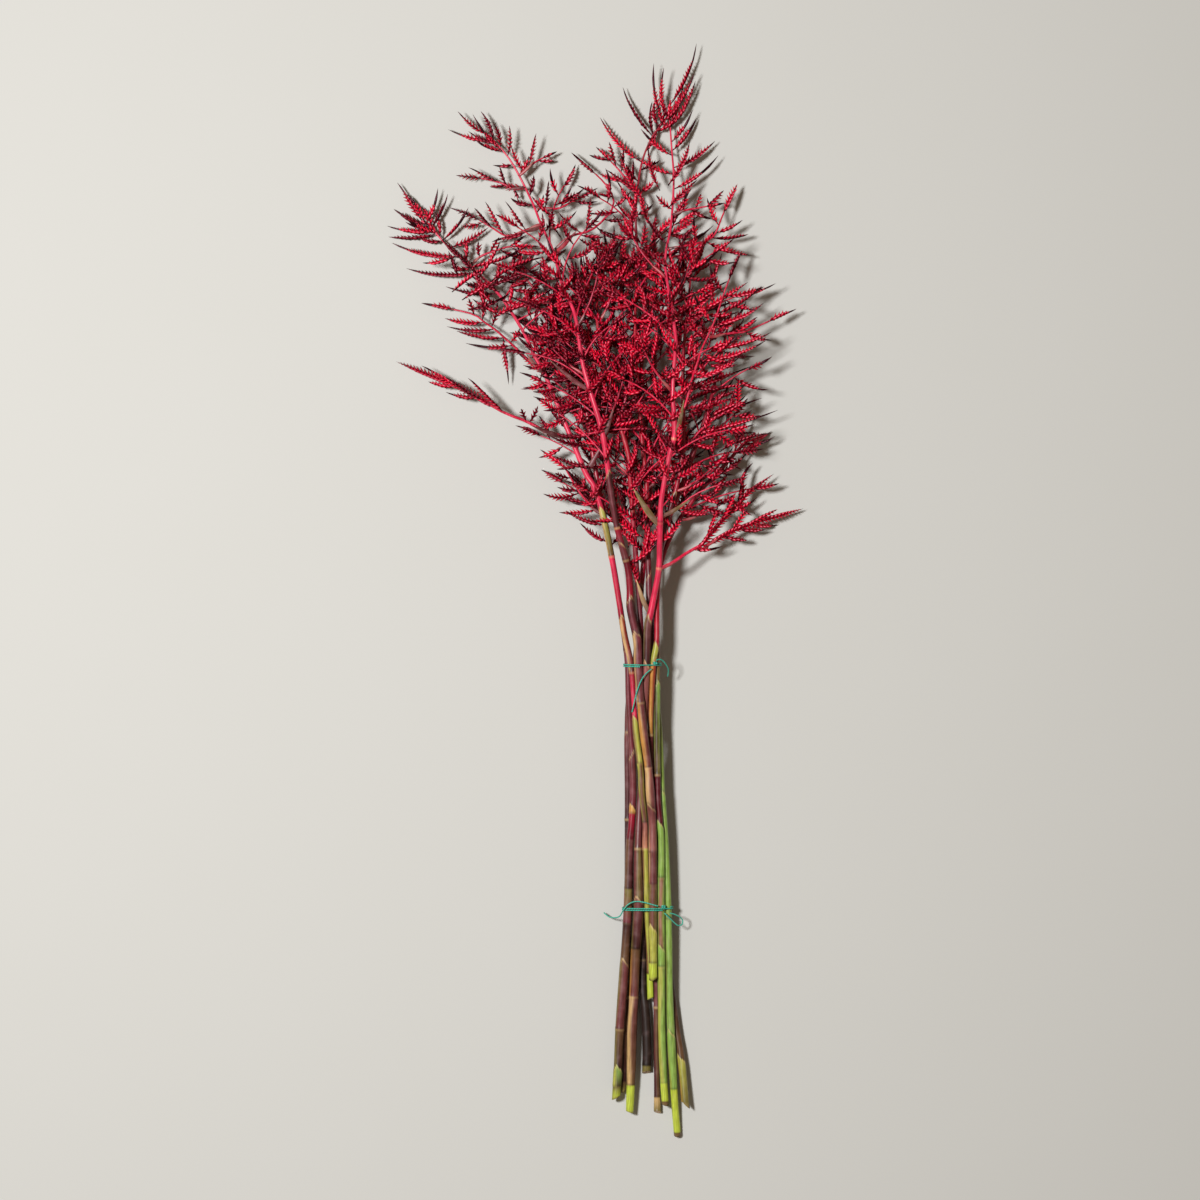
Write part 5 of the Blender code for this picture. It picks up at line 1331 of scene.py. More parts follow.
def make_stalk(name):
    """One stalk from its cut end to the top of its flower head."""
    line = lay_side_by_side()[name]
    random = np.random.default_rng(40 + list(STEMS).index(name))
    rows = stretches(name, random)
    whole = lengths(line)[-1]
    fine = even_line(line, int(whole / STALK_RING_GAP) + 1)
    centres, radii = fine[:, :3], fine[:, 3]
    side, up = side_frames(centres)
    along = lengths(centres)
    ahead = unit(centres[1] - centres[0])
    slant, slant_way = CUT_SLANTS[name]
    (swing, wave), (tall, count, twist) = STALK_WAVES, STALK_RIDGES
    waves = random.uniform(0, 2 * math.pi, 3)
    corners, tints, edges = [], [], []
    for k, (centre, s) in enumerate(zip(centres, along)):
        slim = np.interp(centre[1], HEAD_TAPER_Y, HEAD_TAPER)
        radius = radii[k] * slim * (1 + swing * math.sin(s / wave + waves[0]))
        for angle in round_angles(STALK_SIDES):
            tint, dry, extra = skin_at(rows, centre[1], angle, centres[0, 1])
            ridge = tall * math.sin(count * angle + waves[1] + s / twist)
            out = math.cos(angle) * side[k] + math.sin(angle) * up[k]
            corner = centre + (radius * (1 + ridge) + extra) * out
            if k == 0:
                corner = corner - ahead * slant * math.cos(angle - math.radians(slant_way))
                dry = CUT_DRYNESS
            corners.append(corner)
            tints.append(tint)
            edges.append(dry)
    girth = 2 * math.pi * float(np.mean(radii))
    faces, uvs = tube(0, along, STALK_SIDES, girth)
    rim = len(corners)
    faces.append(tuple(range(rim - STALK_SIDES, rim)))
    uvs += [(0.0, whole)] * STALK_SIDES
    mouth = np.array(corners[:STALK_SIDES])
    middle = mouth.mean(axis=0)
    corners += [middle + (point - middle) * CUT_RIM + ahead * CUT_STEP for point in mouth]
    corners.append(middle + ahead * 2 * CUT_STEP)
    pith = STALK_SIDES + 1
    for q in range(STALK_SIDES):
        after = (q + 1) % STALK_SIDES
        for face in ((after, q, rim + q, rim + after), (rim + after, rim + q, rim + STALK_SIDES)):
            faces.append(face)
            uvs += [(corners[k][0], corners[k][2]) for k in face]
    values = {"tint": tints + [tints[0]] * pith, "edge": edges + [0.0] * pith,
              "cut": np.repeat((0.0, 1.0), (rim, pith))}
    obj = closed_mesh(name + "_skin", corners, faces, uvs, values, stalk_finish())
    seat(obj, name + "_stalk", name)


# ---- flower spikes --------------------------------------------------------------------------


@functools.cache
def spike_tree():
    """Grows tubes along guide lines, and two ranks of bracts along those that carry them.

    The guide's points hold thick (the tube's radius), size (of a bract, 0 for none), open (its
    angle to the line), roll (how far the first rank is turned round the line from its right side)
    and spread (from there to the second rank).
    """
    tree, given, out = new_group(
        "Two-ranked spikes", "GeometryNodeTree",
        (("Guides", "Geometry"), ("Bract", "Object"), ("Bract gap", "Float", 0.002),
         ("Bract length", "Float", 0.0078), ("Unevenness", "Float", 0.2), ("Seed", "Int", 1),
         ("Finish", "Material")),
        (("Spikes", "Geometry"),))

    def named(name):
        inputs = {"Name": name}
        return node(tree, "GeometryNodeInputNamedAttribute", inputs, data_type="FLOAT").outputs[0]

    def rotation(**turn):
        angles = node(tree, "ShaderNodeCombineXYZ", turn).outputs[0]
        return node(tree, "FunctionNodeEulerToRotation", {0: angles}).outputs[0]

    def rotated(start, turn):
        inputs = {"Rotation": start, "Rotate By": turn}
        kind = "FunctionNodeRotateRotation"
        return node(tree, kind, inputs, rotation_space="LOCAL").outputs[0]

    lines = node(tree, "GeometryNodeMeshToCurve", {0: given["Guides"]}).outputs[0]
    upright = node(tree, "GeometryNodeSetCurveNormal", {0: lines}, mode="Z_UP").outputs[0]
    ring = node(tree, "GeometryNodeCurvePrimitiveCircle", {"Resolution": 5, "Radius": 1.0},
                mode="RADIUS").outputs[0]
    tubes = node(tree, "GeometryNodeCurveToMesh",
                 {"Curve": upright, "Profile Curve": ring, "Scale": named("thick"),
                  "Fill Caps": True}).outputs[0]
    close = node(tree, "GeometryNodeResampleCurve", {"Curve": upright, "Length": given["Bract gap"]},
                 mode="LENGTH").outputs[0]
    points = node(tree, "GeometryNodeCurveToPoints", {"Curve": close}, mode="EVALUATED").outputs
    index = node(tree, "GeometryNodeInputIndex").outputs[0]
    parity = calc(tree, "MULTIPLY", calc(tree, "MODULO", index, 2.0), named("spread"))
    uneven = node(tree, "FunctionNodeRandomValue", data_type="FLOAT")
    wire(tree, {socket.identifier: socket for socket in uneven.inputs},
         {"Min_001": calc(tree, "MULTIPLY", given["Unevenness"], -1.0),
          "Max_001": given["Unevenness"], "Seed": given["Seed"]})
    wobble = next(socket for socket in uneven.outputs if socket.identifier == "Value_001")
    turn = calc(tree, "ADD", calc(tree, "ADD", parity, named("roll")), wobble)
    lean = calc(tree, "MULTIPLY_ADD", wobble, 0.4, named("open"))
    facing = rotated(rotated(points["Rotation"], rotation(Z=turn)), rotation(Y=lean))
    shape = node(tree, "GeometryNodeObjectInfo", {"Object": given["Bract"]}).outputs["Geometry"]
    size = named("size")
    long = calc(tree, "MULTIPLY", size, given["Bract length"])
    scale = node(tree, "ShaderNodeCombineXYZ", {"X": long, "Y": long, "Z": long}).outputs[0]
    bracts = node(tree, "GeometryNodeInstanceOnPoints",
                  {"Points": points["Points"], "Selection": calc(tree, "GREATER_THAN", size, 0.2),
                   "Instance": shape, "Rotation": facing, "Scale": scale}).outputs[0]
    joined = node(tree, "GeometryNodeJoinGeometry", {0: bracts})
    wire(tree, joined.inputs, {0: tubes})
    real = node(tree, "GeometryNodeRealizeInstances", {0: joined.outputs[0]}).outputs[0]
    inputs = {"Geometry": real, "Material": given["Finish"]}
    wire(tree, out, {0: node(tree, "GeometryNodeSetMaterial", inputs).outputs[0]})
    return tree


def run_tree(obj, tree, values):
    """Runs the tree on the object and keeps its result as a plain mesh."""
    modifier = obj.modifiers.new(tree.name, "NODES")
    modifier.node_group = tree
    for item in tree.interface.items_tree:
        if item.item_type == "SOCKET" and item.in_out == "INPUT" and item.name in values:
            modifier[item.identifier] = values[item.name]
    graph = bpy.context.evaluated_depsgraph_get()
    graph.update()
    mesh = bpy.data.meshes.new_from_object(obj.evaluated_get(graph), depsgraph=graph)
    guide = obj.data
    obj.modifiers.remove(modifier)
    obj.data = mesh
    bpy.data.meshes.remove(guide)
    mesh.name = obj.name
    if not mesh.polygons:
        raise RuntimeError(f"{obj.name}: nothing grew on its guide lines")
    round_off(mesh)


class Guides:
    """Lines for the spike tree, and what each of their points tells it."""

    KEYS = ("thick", "size", "open", "roll", "spread", "tone", "axis", "far")

    def __init__(self):
        self.points = []
        self.edges = []
        self.told = {key: [] for key in self.KEYS}

    def add(self, points, **told):
        first = len(self.points)
        self.points += list(np.clip(points, ROOM_LOW, ROOM_HIGH))
        self.edges += [(first + k, first + k + 1) for k in range(len(points) - 1)]
        for key in self.KEYS:
            self.told[key] += list(np.broadcast_to(told.get(key, 0.0), len(points)))

    def spike(self, points, random, tone, ahead=None, scale=1.0):
        """A flower spike: a short bare stalk, two ranks of bracts, and a slender tip.

        One rank lies on the side that faces ahead, and the other on top of the spike.
        """
        points = even_line(points, SPIKE_POINTS)
        f = np.linspace(0, 1, SPIKE_POINTS)
        chord = points[-1] - points[0]
        facing = random.normal() if ahead is None else chord[1] * ahead[0] - chord[0] * ahead[1]
        lead = 1 if facing > 0 else -1
        teeth = random.uniform(-0.08, 0.1)
        is_smooth = random.random() < SMOOTH_SHARE
        bare = random.uniform(*(SMOOTH_TIPS if is_smooth else PLAIN_TIPS))
        full = 1.5 if is_smooth else 0.95
        thick = np.interp(f, (0, 0.1, 0.25, bare, 0.6 * bare + 0.4, 1), (0.6, 0.7, 1.05, full, full, 0.1))
        size = np.interp(f, (0, 0.04, 0.1, 0.25, 0.5, bare - 0.12, bare + 0.06),
                         (0, 0.1, 0.8, 1, 0.95, 0.66, 0.1))
        opened = np.interp(f, (0, 0.25, bare - 0.15, bare + 0.05), (0.0, 0.1, 0.05, -0.15))
        self.add(points, thick=thick * MM * scale, size=size * scale, open=opened + teeth, far=f,
                 roll=(0 if lead > 0 else math.pi) + random.normal(0, RANK_WOBBLE),
                 spread=-lead * random.uniform(*RANK_SPREAD),
                 tone=np.clip(tone + random.normal(0.0, TONE_WOBBLE), 0, 1))

    def chain(self, points, tone):
        """Bracts in two ranks all along a shoot that is a long flower spike itself."""
        f = np.linspace(0, 1, len(points))
        self.add(points, thick=np.interp(f, (0, 0.8, 1), (1.3, 1.0, 0.1)) * MM, far=f * f,
                 size=np.interp(f, (0, 0.04, 0.75, 0.9, 1), (0.1, 1.1, 0.95, 0.5, 0.1)),
                 open=0.04, spread=-2.0, tone=tone)

    def stalk(self, points, base_radius, end_radius, tone):
        radii = np.linspace(base_radius, end_radius, len(points))
        self.add(points, thick=radii * MM, tone=tone, axis=1.0)

    def build(self, name):
        return show(name, new_mesh(name, np.array(self.points) * MM, self.edges, [], self.told))


def bract_shape():
    """A small keeled bract one unit long, closed: its foot hugs the line and its tip points out."""
    rings = ((0.0, 0.15, 0.08, -0.06), (0.3, 0.29, 0.28, -0.04), (0.58, 0.18, 0.44, 0.14))
    corners, reach, keels = [], [], []
    for z, half, keel, inner in rings:
        middle = 0.4 * keel + 0.6 * inner
        corners += [(keel, 0, z), (middle, half, z), (inner, 0, z), (middle, -half, z)]
        reach += [z] * 4
        keels += [1.0, 0.0, -0.4, 0.0]
    faces = tube(0, range(len(rings)), 4, 1.0)[0]
    top = len(corners)
    faces += [(top - 4 + q, top - 4 + (q + 1) % 4, top) for q in range(4)]
    faces.append((3, 2, 1, 0))
    # keel is 1 on the ridge and reach runs from foot to tip: masks of the painted keel highlight and foot
    # shade.
    values = {"reach": reach + [1.0], "keel": keels + [0.3]}
    mesh = new_mesh("bract_shape", corners + [(0.6, 0, 0.88)], [], faces, values)
    return show("bract_shape", mesh)


def grow(name, guides, seed, *nodes):
    """Turns guide lines into one plain mesh of stalks, spikes and bracts."""
    sizes = bpy.context.scene.stem_bunch.flowers
    shape = bract_shape()
    obj = guides.build(name)
    run_tree(obj, spike_tree(), {
        "Bract": shape, "Bract gap": sizes.bract_gap, "Bract length": sizes.bract_length,
        "Unevenness": sizes.unevenness, "Seed": seed, "Finish": flower_finish(),
    })
    bpy.data.meshes.remove(shape.data)
    if not obj.data.materials:
        obj.data.materials.append(flower_finish())
    seat(obj, "flower_branch", *nodes)


def add_between(guides, line, taken, random, tone, gap, first, last, longest):
    """Spikes left and right in turn along a shoot, where it has none of its own yet."""
    side = either_side(random)
    s = first
    while s < last:
        side = -side
        if all(abs(s - other) > 0.55 * gap for other in taken):
            foot = at_length(line, s)[:3]
            along = ahead_of(line, s, 3)
            out = turned(along, side * some_angle(random, SPIKE_ANGLES),
                         random.uniform(*SIDE_RISES))
            long = longest * random.uniform(0.75, 1.1) * (1.08 - 0.3 * s / last)
            bow = -side * random.uniform(0.04, 0.13)
            guides.spike(bowed(foot, foot + out * long, bow), random, tone, along)
        s += gap * random.uniform(0.85, 1.15)


def add_cluster(guides, line, random, tone, count, long):
    """Spikes pressed round the end of a shoot."""
    whole = lengths(line)[-1]
    along = ahead_of(line, whole - 14, 12)
    for k in range(count):
        foot = at_length(line, whole - 30 + 5.0 * k)[:3]
        way = (-1) ** k * some_angle(random, CLUSTER_ANGLES)
        out = turned(along, way, random.uniform(-0.1, 0.3))
        reach = long * random.uniform(0.8, 1.15)
        guides.spike(bowed(foot, foot + out * reach, -0.2 * way), random, tone, along, 0.9)


def add_over(guides, line, random, tone, low, high, count):
    """Spikes that lean across the top of a main stalk, between these places along the bunch."""
    for y in np.linspace(low, high, count):
        s = length_at_y(line, y + random.uniform(-6, 6))
        foot = at_length(line, s)
        along = ahead_of(line, s)
        side = either_side(random)
        out = turned(along, side * some_angle(random, OVER_ANGLES), random.uniform(0.0, 0.12))
        lift = (foot[3] + random.uniform(2.5, 6.0)) * UP
        start = foot[:3] - out * random.uniform(8, 16) + lift
        end = start + out * random.uniform(30, 46)
        guides.spike(bowed(start, end, -side * 0.06), random, tone, along)


def add_under(guides, random, count):
    """Dark spikes low in the middle of the bunch, under all the others: their tone is painted shade."""
    for _ in range(count):
        y = random.uniform(*UNDER_Y)
        low, high = np.interp(y, UNDER_Y, UNDER_LEFT), np.interp(y, UNDER_Y, UNDER_RIGHT)
        share = random.uniform(0, 1)
        foot = np.array([low + (high - low) * share, y, random.uniform(8, 26)])
        out = turned((0, 1, 0), math.radians(50 - 100 * share + random.uniform(*UNDER_ANGLES)), 0.1)
        path = bowed(foot, foot + out * random.uniform(38, 58), random.uniform(-0.08, 0.08))
        guides.spike(path, random, UNDER_SHADE_TONE, (0, 1, 0))


def add_twig(guides, line, s, side, long, random, tone, angles):
    """A side twig with its own spikes and a spike at its end."""
    foot = at_length(line, s)[:3]
    along = ahead_of(line, s, 3)
    out = turned(along, side * some_angle(random, angles), random.uniform(*SIDE_RISES))
    axis = bowed(foot, foot + out * long + along * 0.12 * long, side * random.uniform(0.04, 0.1))
    guides.stalk(axis, *TWIG_RADII, tone)
    add_between(guides, axis, (), random, tone, gap=14.0, first=14.0, last=long * 0.96, longest=40.0)
    end = unit(axis[-1] - axis[-2])
    guides.spike(bowed(axis[-1] - end * 3, axis[-1] + end * 27, 0.03), random, tone)


def spike_line(spike):
    return smooth(spike["middles"], 3)


def sickle(spike, line):
    """A spike's line bent back at first and then towards the end of the shoot that bears it."""
    path = even_line(spike_line(spike), SPIKE_POINTS)
    chord = path[-1] - path[0]
    side = unit(np.cross(chord, UP))
    back = -1.0 if side @ ahead_of(line, spike["s"]) > 0 else 1.0
    share = np.linspace(0, 1, SPIKE_POINTS)[:, None]
    return path + side * back * SPIKE_BOW * np.linalg.norm(chord) * bulge(share)


def branch_names():
    return [name for name in lay_out() if "_branch_" in name]


def hand_placed(name):
    """Whether this side branch is one of those whose every spike is in the tables."""
    own = sum(row[0] == name[:6] for row in BRANCHES + FORKS)
    return int(name.rsplit("_", 1)[1]) <= own


def make_branch(name):
    """One side branch: its stalk, its spikes, and the spike at its end."""
    number = branch_names().index(name)
    random = np.random.default_rng(1000 + number)
    head = HEADS[name[:6]]
    tone, own = head.tone, hand_placed(name)
    spikes = lay_out()[name]["spikes"]
    line = lay_out()[name]["line"]
    whole = lengths(line)[-1]
    tail = min(LONGEST_END_SPIKE, 0.4 * whole)
    back = line[0] - unit(line[1] - line[0]) * BRANCH_ROOT
    stalk = np.vstack([back, at_length(line, np.linspace(0, whole - tail + 2, 14))])
    guides = Guides()
    base_radius = CHAIN_BASE_RADIUS if name in CHAINED else BRANCH_BASE_RADIUS
    guides.stalk(stalk, base_radius, BRANCH_END_RADIUS, tone if own else tone - 0.35)
    if name in CHAINED:
        guides.chain(at_length(line, np.linspace(CHAINED[name] * whole, whole, 30)), tone)
    else:
        end = at_length(line, np.linspace(whole - tail, whole, SPIKE_POINTS))
        guides.spike(end, random, tone, scale=head.size)
    for k, spike in enumerate(spikes):
        path = sickle(spike, line)
        if name in SPARSE:
            path = path[:max(3, len(path) * (1 + k % 2) // 4)]
        guides.spike(path, random, tone, ahead_of(line, spike["s"]), head.size)
    taken = [spike["s"] for spike in spikes]
    if not own and name not in SPARSE:
        add_between(guides, line, taken, random, tone, gap=14.5, first=14.0, last=whole - tail,
                    longest=42.0)
        add_cluster(guides, line, random, tone, count=2, long=26.0)
    elif name[:6] in ("stem_c", "stem_j") and name not in CHAINED:
        add_between(guides, line, taken, random, tone - 0.12, gap=15.0, first=12.0,
                    last=0.55 * whole, longest=30.0)
    grow(name + "_flowers", guides, number + 1, name)


def make_stem_flowers(stem):
    """The spikes and twigs that grow straight from a stem's flower head."""
    number = list(STEMS).index(stem)
    random = np.random.default_rng(300 + number)
    head = HEADS[stem]
    tone, scale = head.tone, head.size
    crosswise = stem == "stem_a"
    spikes = lay_out()[stem]["spikes"]
    line = lay_out()[stem]["line"]
    whole = lengths(line)[-1]
    guides = Guides()
    for spike in spikes:
        if not spike["leafy"]:
            guides.spike(sickle(spike, line), random, tone, ahead_of(line, spike["s"]), scale)
    end = at_length(line, np.linspace(whole - STEM_TIP, whole, SPIKE_POINTS))[:, :3]
    guides.spike(end, random, tone, scale=scale)
    low, high, gap = head.twigs
    s, last = length_at_y(line, low), length_at_y(line, high)
    side = either_side(random)
    while s < last:
        side = -1 if crosswise else -side
        add_twig(guides, line, s, side, random.uniform(*TWIG_LENGTHS), random, tone,
                 CROSSWISE_ANGLES if crosswise else TWIG_ANGLES)
        s += gap * random.uniform(0.8, 1.2)
    add_cluster(guides, line, random, tone, count=6 if crosswise else 4, long=30.0)
    taken = [spike["s"] for spike in spikes]
    add_between(guides, line, taken, random, tone, gap=11.0, first=whole - 125,
                last=whole - STEM_TIP, longest=31.0)
    foot_height, tip_height, rows = LONG_SPIKES.get(stem, (0, 0, ()))
    for x, y, tip_x, tip_y in rows:
        foot, tip = np.array((x, y, foot_height)), np.array((tip_x, tip_y, tip_height))
        path = bowed(foot, tip, random.uniform(-0.07, 0.07))
        guides.spike(path, random, tone, (0, 1, 0), scale)
    add_under(guides, random, head.under)
    add_over(guides, line, random, tone, *head.over)
    grow(stem + "_flowers", guides, 100 + number)


# ---- leafy bracts ---------------------------------------------------------------------------


class Leaves:
    """Boat-shaped bracts with dry margins, gathered for one mesh."""

    def __init__(self):
        self.corners, self.faces, self.uvs = [], [], []
        self.values = {"tint": [], "edge": []}

    def add(self, path, half_width, tints, dry):
        """One closed bract along its path, with its tints at the foot and at the tip."""
        low, high = (STALK_TINTS[tint] for tint in tints)
        path = even_line(path, LEAF_POINTS)
        side, up = side_frames(path)
        half = LEAF_SIDES // 2
        first = len(self.corners)
        for k in range(LEAF_POINTS):
            f = k / (LEAF_POINTS - 1)
            wide = half_width * np.interp(f, (0, 0.12, 0.4, 0.75, 1), (0.55, 0.85, 1.0, 0.6, 0.04))
            deep = 0.55 * wide + 0.1
            for q in range(LEAF_SIDES):
                outside = q < half  # the other half of the ring is the hollow inner side
                angle = math.radians(160 * (q % half + 0.5) / half - 80) * (1 if outside else -1)
                reach = wide if outside else wide * 0.94
                hollow = 0.0 if outside else 0.55 * deep * math.cos(angle)
                self.corners.append(path[k] + side[k] * reach * math.sin(angle)
                                    + up[k] * (deep * math.cos(angle) - 0.5 * deep - hollow))
                margin = clamp((abs(math.sin(angle)) - 0.8) / 0.2)
                self.values["tint"].append(low + (high - low) * f)
                self.values["edge"].append(clamp(dry * margin + max(0, f - 0.86) * 5 * dry))
        faces, uvs = capped_tube(first, lengths(path), LEAF_SIDES, half_width * LEAF_SIDES / 3)
        self.faces += faces
        self.uvs += uvs


def make_bracts(stem):
    """The leafy bracts of a stem: the large ones, and a small one under each side branch."""
    random = np.random.default_rng(500 + list(STEMS).index(stem))
    leaves = Leaves()
    large = [spike for spike in lay_out()[stem]["spikes"] if spike["leafy"]]
    for spike, (low, high, half_width, dry) in zip(large, LARGE_BRACTS.get(stem, ())):
        leaves.add(spike_line(spike), half_width, (low, high), dry)
    for name in branch_names():
        if name.startswith(stem):
            line = lay_out()[name]["line"]
            out = unit(line[1] - line[0])
            start = line[0] - out * 3.0
            long = random.uniform(12, 21)
            lift = random.uniform(1.0, 1.8) * UP
            tip = start + out * long + random.uniform(1.0, 4.0) * UP
            tints = SMALL_BRACTS[int(random.integers(len(SMALL_BRACTS)))]
            path = bowed(start + lift, tip + lift, 0.04)
            leaves.add(path, random.uniform(1.4, 1.9), tints, 0.35)
    obj = closed_mesh(stem + "_leafy_bracts", leaves.corners, leaves.faces, leaves.uvs,
                      leaves.values, bract_finish())
    seat(obj, "flower_branch")


# ---- sizes and colours that a user may change ------------------------------------------------


def colour_choice(name, description, *screen):
    return bpy.props.FloatVectorProperty(name=name, description=description, default=shade(*screen),
                                         subtype="COLOR", size=3, min=0.0, max=1.0)


def length_choice(name, description, default, low=0.0, high=10.0):
    return bpy.props.FloatProperty(name=name, description=description, default=default, min=low,
                                   max=high, unit="LENGTH", precision=5)


class BUNCH_PG_flowers(bpy.types.PropertyGroup):
    bract_gap: length_choice("Bract gap", "From one bract to the next along a spike", 0.002)
    bract_length: length_choice("Bract length", "Length of a full-grown bract on a spike", 0.0078)
    unevenness: bpy.props.FloatProperty(
        name="Unevenness", description="How far a bract may turn out of its rank",
        default=math.radians(11), min=0.0, max=1.0, subtype="ANGLE")
    bright_colour: colour_choice("Bright red", "Bracts of the reddest spikes", 228, 4, 48)
    deep_colour: colour_choice("Deep red", "Bracts of the darkest spikes", 98, 0, 18)
    # Painted shade at the foot of each bract.
    shadow_colour: colour_choice("Bract foot", "Where a bract leaves its spike", 30, 0, 5)
    # Painted highlight: the pink line along each bract's keel, and the streaks on the spike stalks.
    keel_highlight_colour: colour_choice("Bract keel", "The pink ridge of each bract", 255, 140, 166)
    tip_colour: colour_choice("Spike tip", "The pointed end of a spike", 88, 2, 20)
    coral_colour: colour_choice("Coral", "Stalks of the spikes and their lit streaks", 206, 30, 62)
    axis_dark_colour: colour_choice("Dark stalk", "Stalks in the darkest heads", 122, 10, 30)


class BUNCH_PG_stalks(bpy.types.PropertyGroup):
    bloom_colour: colour_choice("Bloom", "The pale waxy bloom on the skin", 196, 150, 150)
    speck_colour: colour_choice("Specks", "Fine dark pores", 60, 36, 34)
    dry_colour: colour_choice("Dry edge", "Dry rims of the sheaths and joints", 198, 168, 116)
    pith_colour: colour_choice("Pith", "The pale inside shown by a cut", 214, 190, 160)
    pith_dark_colour: colour_choice("Pith strands", "Strands in the cut", 150, 112, 84)


class BUNCH_PG_string(bpy.types.PropertyGroup):
    twist_length: length_choice("Twist", "Length of one twist of the two plies", 0.0034)
    string_colour: colour_choice("String", "The lit top of a ply", 48, 182, 156)
    # Painted shade in the grooves between the plies.
    groove_shade_colour: colour_choice("Groove", "Between the plies", 14, 112, 98)
    mint_colour: colour_choice("Mint", "Frayed pale fibres", 164, 236, 212)


class BUNCH_PG_stage(bpy.types.PropertyGroup):
    floor_side: length_choice("Floor side", "Width of the square floor", 9.0, 1.0, 100.0)
    floor_colour: colour_choice("Floor", "Plain pale floor", 186, 185, 181)
    camera_height: length_choice("Camera height", "How far above the floor the camera is", 4.6)
    view_side: length_choice("View side", "Width of floor that the picture takes in", 1.2)
    light_power: bpy.props.FloatProperty(
        name="Light power", description="Power of the soft lamp", default=148.0, min=0.0,
        unit="POWER")


class BUNCH_PG_settings(bpy.types.PropertyGroup):
    flowers: bpy.props.PointerProperty(type=BUNCH_PG_flowers)
    stalks: bpy.props.PointerProperty(type=BUNCH_PG_stalks)
    string: bpy.props.PointerProperty(type=BUNCH_PG_string)
    stage: bpy.props.PointerProperty(type=BUNCH_PG_stage)


# ---- operators ------------------------------------------------------------------------------


class BUNCH_OT_stage(bpy.types.Operator):
    """Lays the pale floor and sets the camera straight above it, the lamp and the sky light"""

    bl_idname = "bunch.stage"
    bl_label = "Floor, camera and light"

    MIDDLE = (0.005, -0.010)
    FLOWER_HEIGHT = 0.04  # above the floor, where the picture's width is measured
    LAMP_WAY = (-0.385, 0.12, 1.0)
    LAMP_DISTANCE = 3.4

    def execute(self, context):
        looks = context.scene.stem_bunch.stage
        half = looks.floor_side / 2
        corners = [(-half, -half, 0), (half, -half, 0), (half, half, 0), (-half, half, 0)]
        floor = show("floor", new_mesh("floor", corners, [], [(0, 1, 2, 3)], {}))
        floor.data.materials.append(floor_finish())
        camera = bpy.data.cameras.new("camera")
        camera.sensor_width = 36.0
        reach = looks.camera_height - self.FLOWER_HEIGHT
        camera.lens = camera.sensor_width * reach / looks.view_side
        camera.clip_end = 60.0
        above = show("camera", camera)
        above.location = (*self.MIDDLE, looks.camera_height)
        context.scene.camera = above
        lamp = bpy.data.lights.new("window", "AREA")
        lamp.shape = "DISK"
        lamp.size = 0.5
        lamp.energy = looks.light_power
        lamp.color = (0.985, 0.995, 1.0)
        window = show("window", lamp)
        x, y, z = unit(np.array(self.LAMP_WAY))
        window.location = tuple(np.array((x, y, z)) * self.LAMP_DISTANCE)
        window.rotation_euler = (math.acos(z), 0.0, math.atan2(x, -y))
        world = bpy.data.worlds.new("soft sky")
        world.use_nodes = True
        wire(world.node_tree, world.node_tree.nodes["Background"].inputs,
             {0: (1.0, 0.82, 0.62, 1.0), 1: 0.22})
        context.scene.world = world
        context.scene.view_settings.view_transform = "Standard"
        return {"FINISHED"}


class Group:
    """A step that makes one piece for each name. Each operator below has its names and maker."""

    def execute(self, context):
        for name in self.names():
            self.make(name)
        return {"FINISHED"}


class BUNCH_OT_tails(Group, bpy.types.Operator):
    """Lays the four free ends of the string"""

    bl_idname = "bunch.tails"
    bl_label = "Free ends of the string"
    names, make = staticmethod(lambda: TAILS), staticmethod(make_tail)


class BUNCH_OT_ties(Group, bpy.types.Operator):
    """Winds and knots the two ties round the stalks"""

    bl_idname = "bunch.ties"
    bl_label = "Ties"
    names, make = staticmethod(lambda: TIES), staticmethod(make_tie)


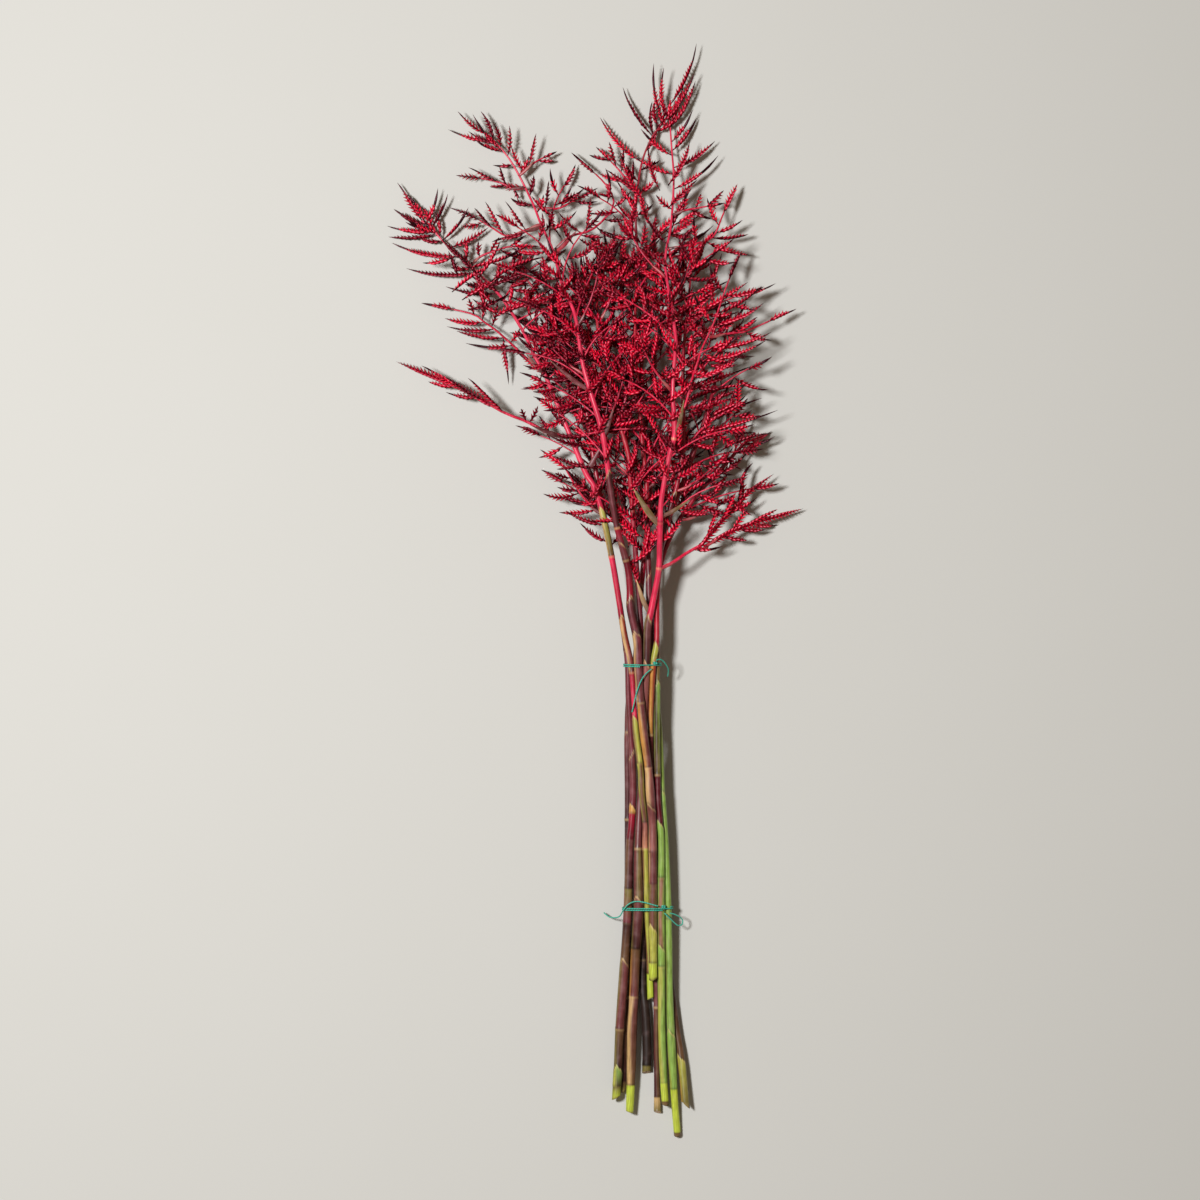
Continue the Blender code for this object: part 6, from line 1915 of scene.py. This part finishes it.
class BUNCH_OT_stalks(Group, bpy.types.Operator):
    """Makes the ten jointed stalks with their leaf sheaths and cut ends"""

    bl_idname = "bunch.stalks"
    bl_label = "Stalks"
    names, make = staticmethod(lambda: STEMS), staticmethod(make_stalk)


class BUNCH_OT_stem_flowers(Group, bpy.types.Operator):
    """Grows the spikes and twigs that leave the stems themselves"""

    bl_idname = "bunch.stem_flowers"
    bl_label = "Flowers on the stems"
    names, make = staticmethod(lambda: STEMS), staticmethod(make_stem_flowers)


class BUNCH_OT_branches(Group, bpy.types.Operator):
    """Grows the side branches with their flower spikes"""

    bl_idname = "bunch.branches"
    bl_label = "Side branches"
    names, make = staticmethod(branch_names), staticmethod(make_branch)


class BUNCH_OT_leafy_bracts(Group, bpy.types.Operator):
    """Adds the large leafy bracts and the small one under each side branch"""

    bl_idname = "bunch.leafy_bracts"
    bl_label = "Leafy bracts"
    names, make = staticmethod(lambda: STEMS), staticmethod(make_bracts)


class BUNCH_PT_panel(bpy.types.Panel):
    """Lists the steps that build the bunch"""

    bl_idname = "BUNCH_PT_panel"
    bl_label = "Stem bunch"
    bl_space_type = "VIEW_3D"
    bl_region_type = "UI"
    bl_category = "Stem bunch"

    def draw(self, context):
        for operator in OPERATORS:
            self.layout.operator(operator.bl_idname)


OPERATORS = (BUNCH_OT_stage, BUNCH_OT_tails, BUNCH_OT_ties, BUNCH_OT_stalks,
             BUNCH_OT_stem_flowers, BUNCH_OT_branches, BUNCH_OT_leafy_bracts)
CLASSES = (BUNCH_PG_flowers, BUNCH_PG_stalks, BUNCH_PG_string, BUNCH_PG_stage,
           BUNCH_PG_settings, *OPERATORS, BUNCH_PT_panel)


def register():
    for each in CLASSES:
        bpy.utils.register_class(each)
    bpy.types.Scene.stem_bunch = bpy.props.PointerProperty(type=BUNCH_PG_settings)


def unregister():
    del bpy.types.Scene.stem_bunch
    for each in reversed(CLASSES):
        bpy.utils.unregister_class(each)


def main():
    register()
    for operator in OPERATORS:
        group, step = operator.bl_idname.split(".")
        getattr(getattr(bpy.ops, group), step)()


if __name__ == "__main__":
    main()
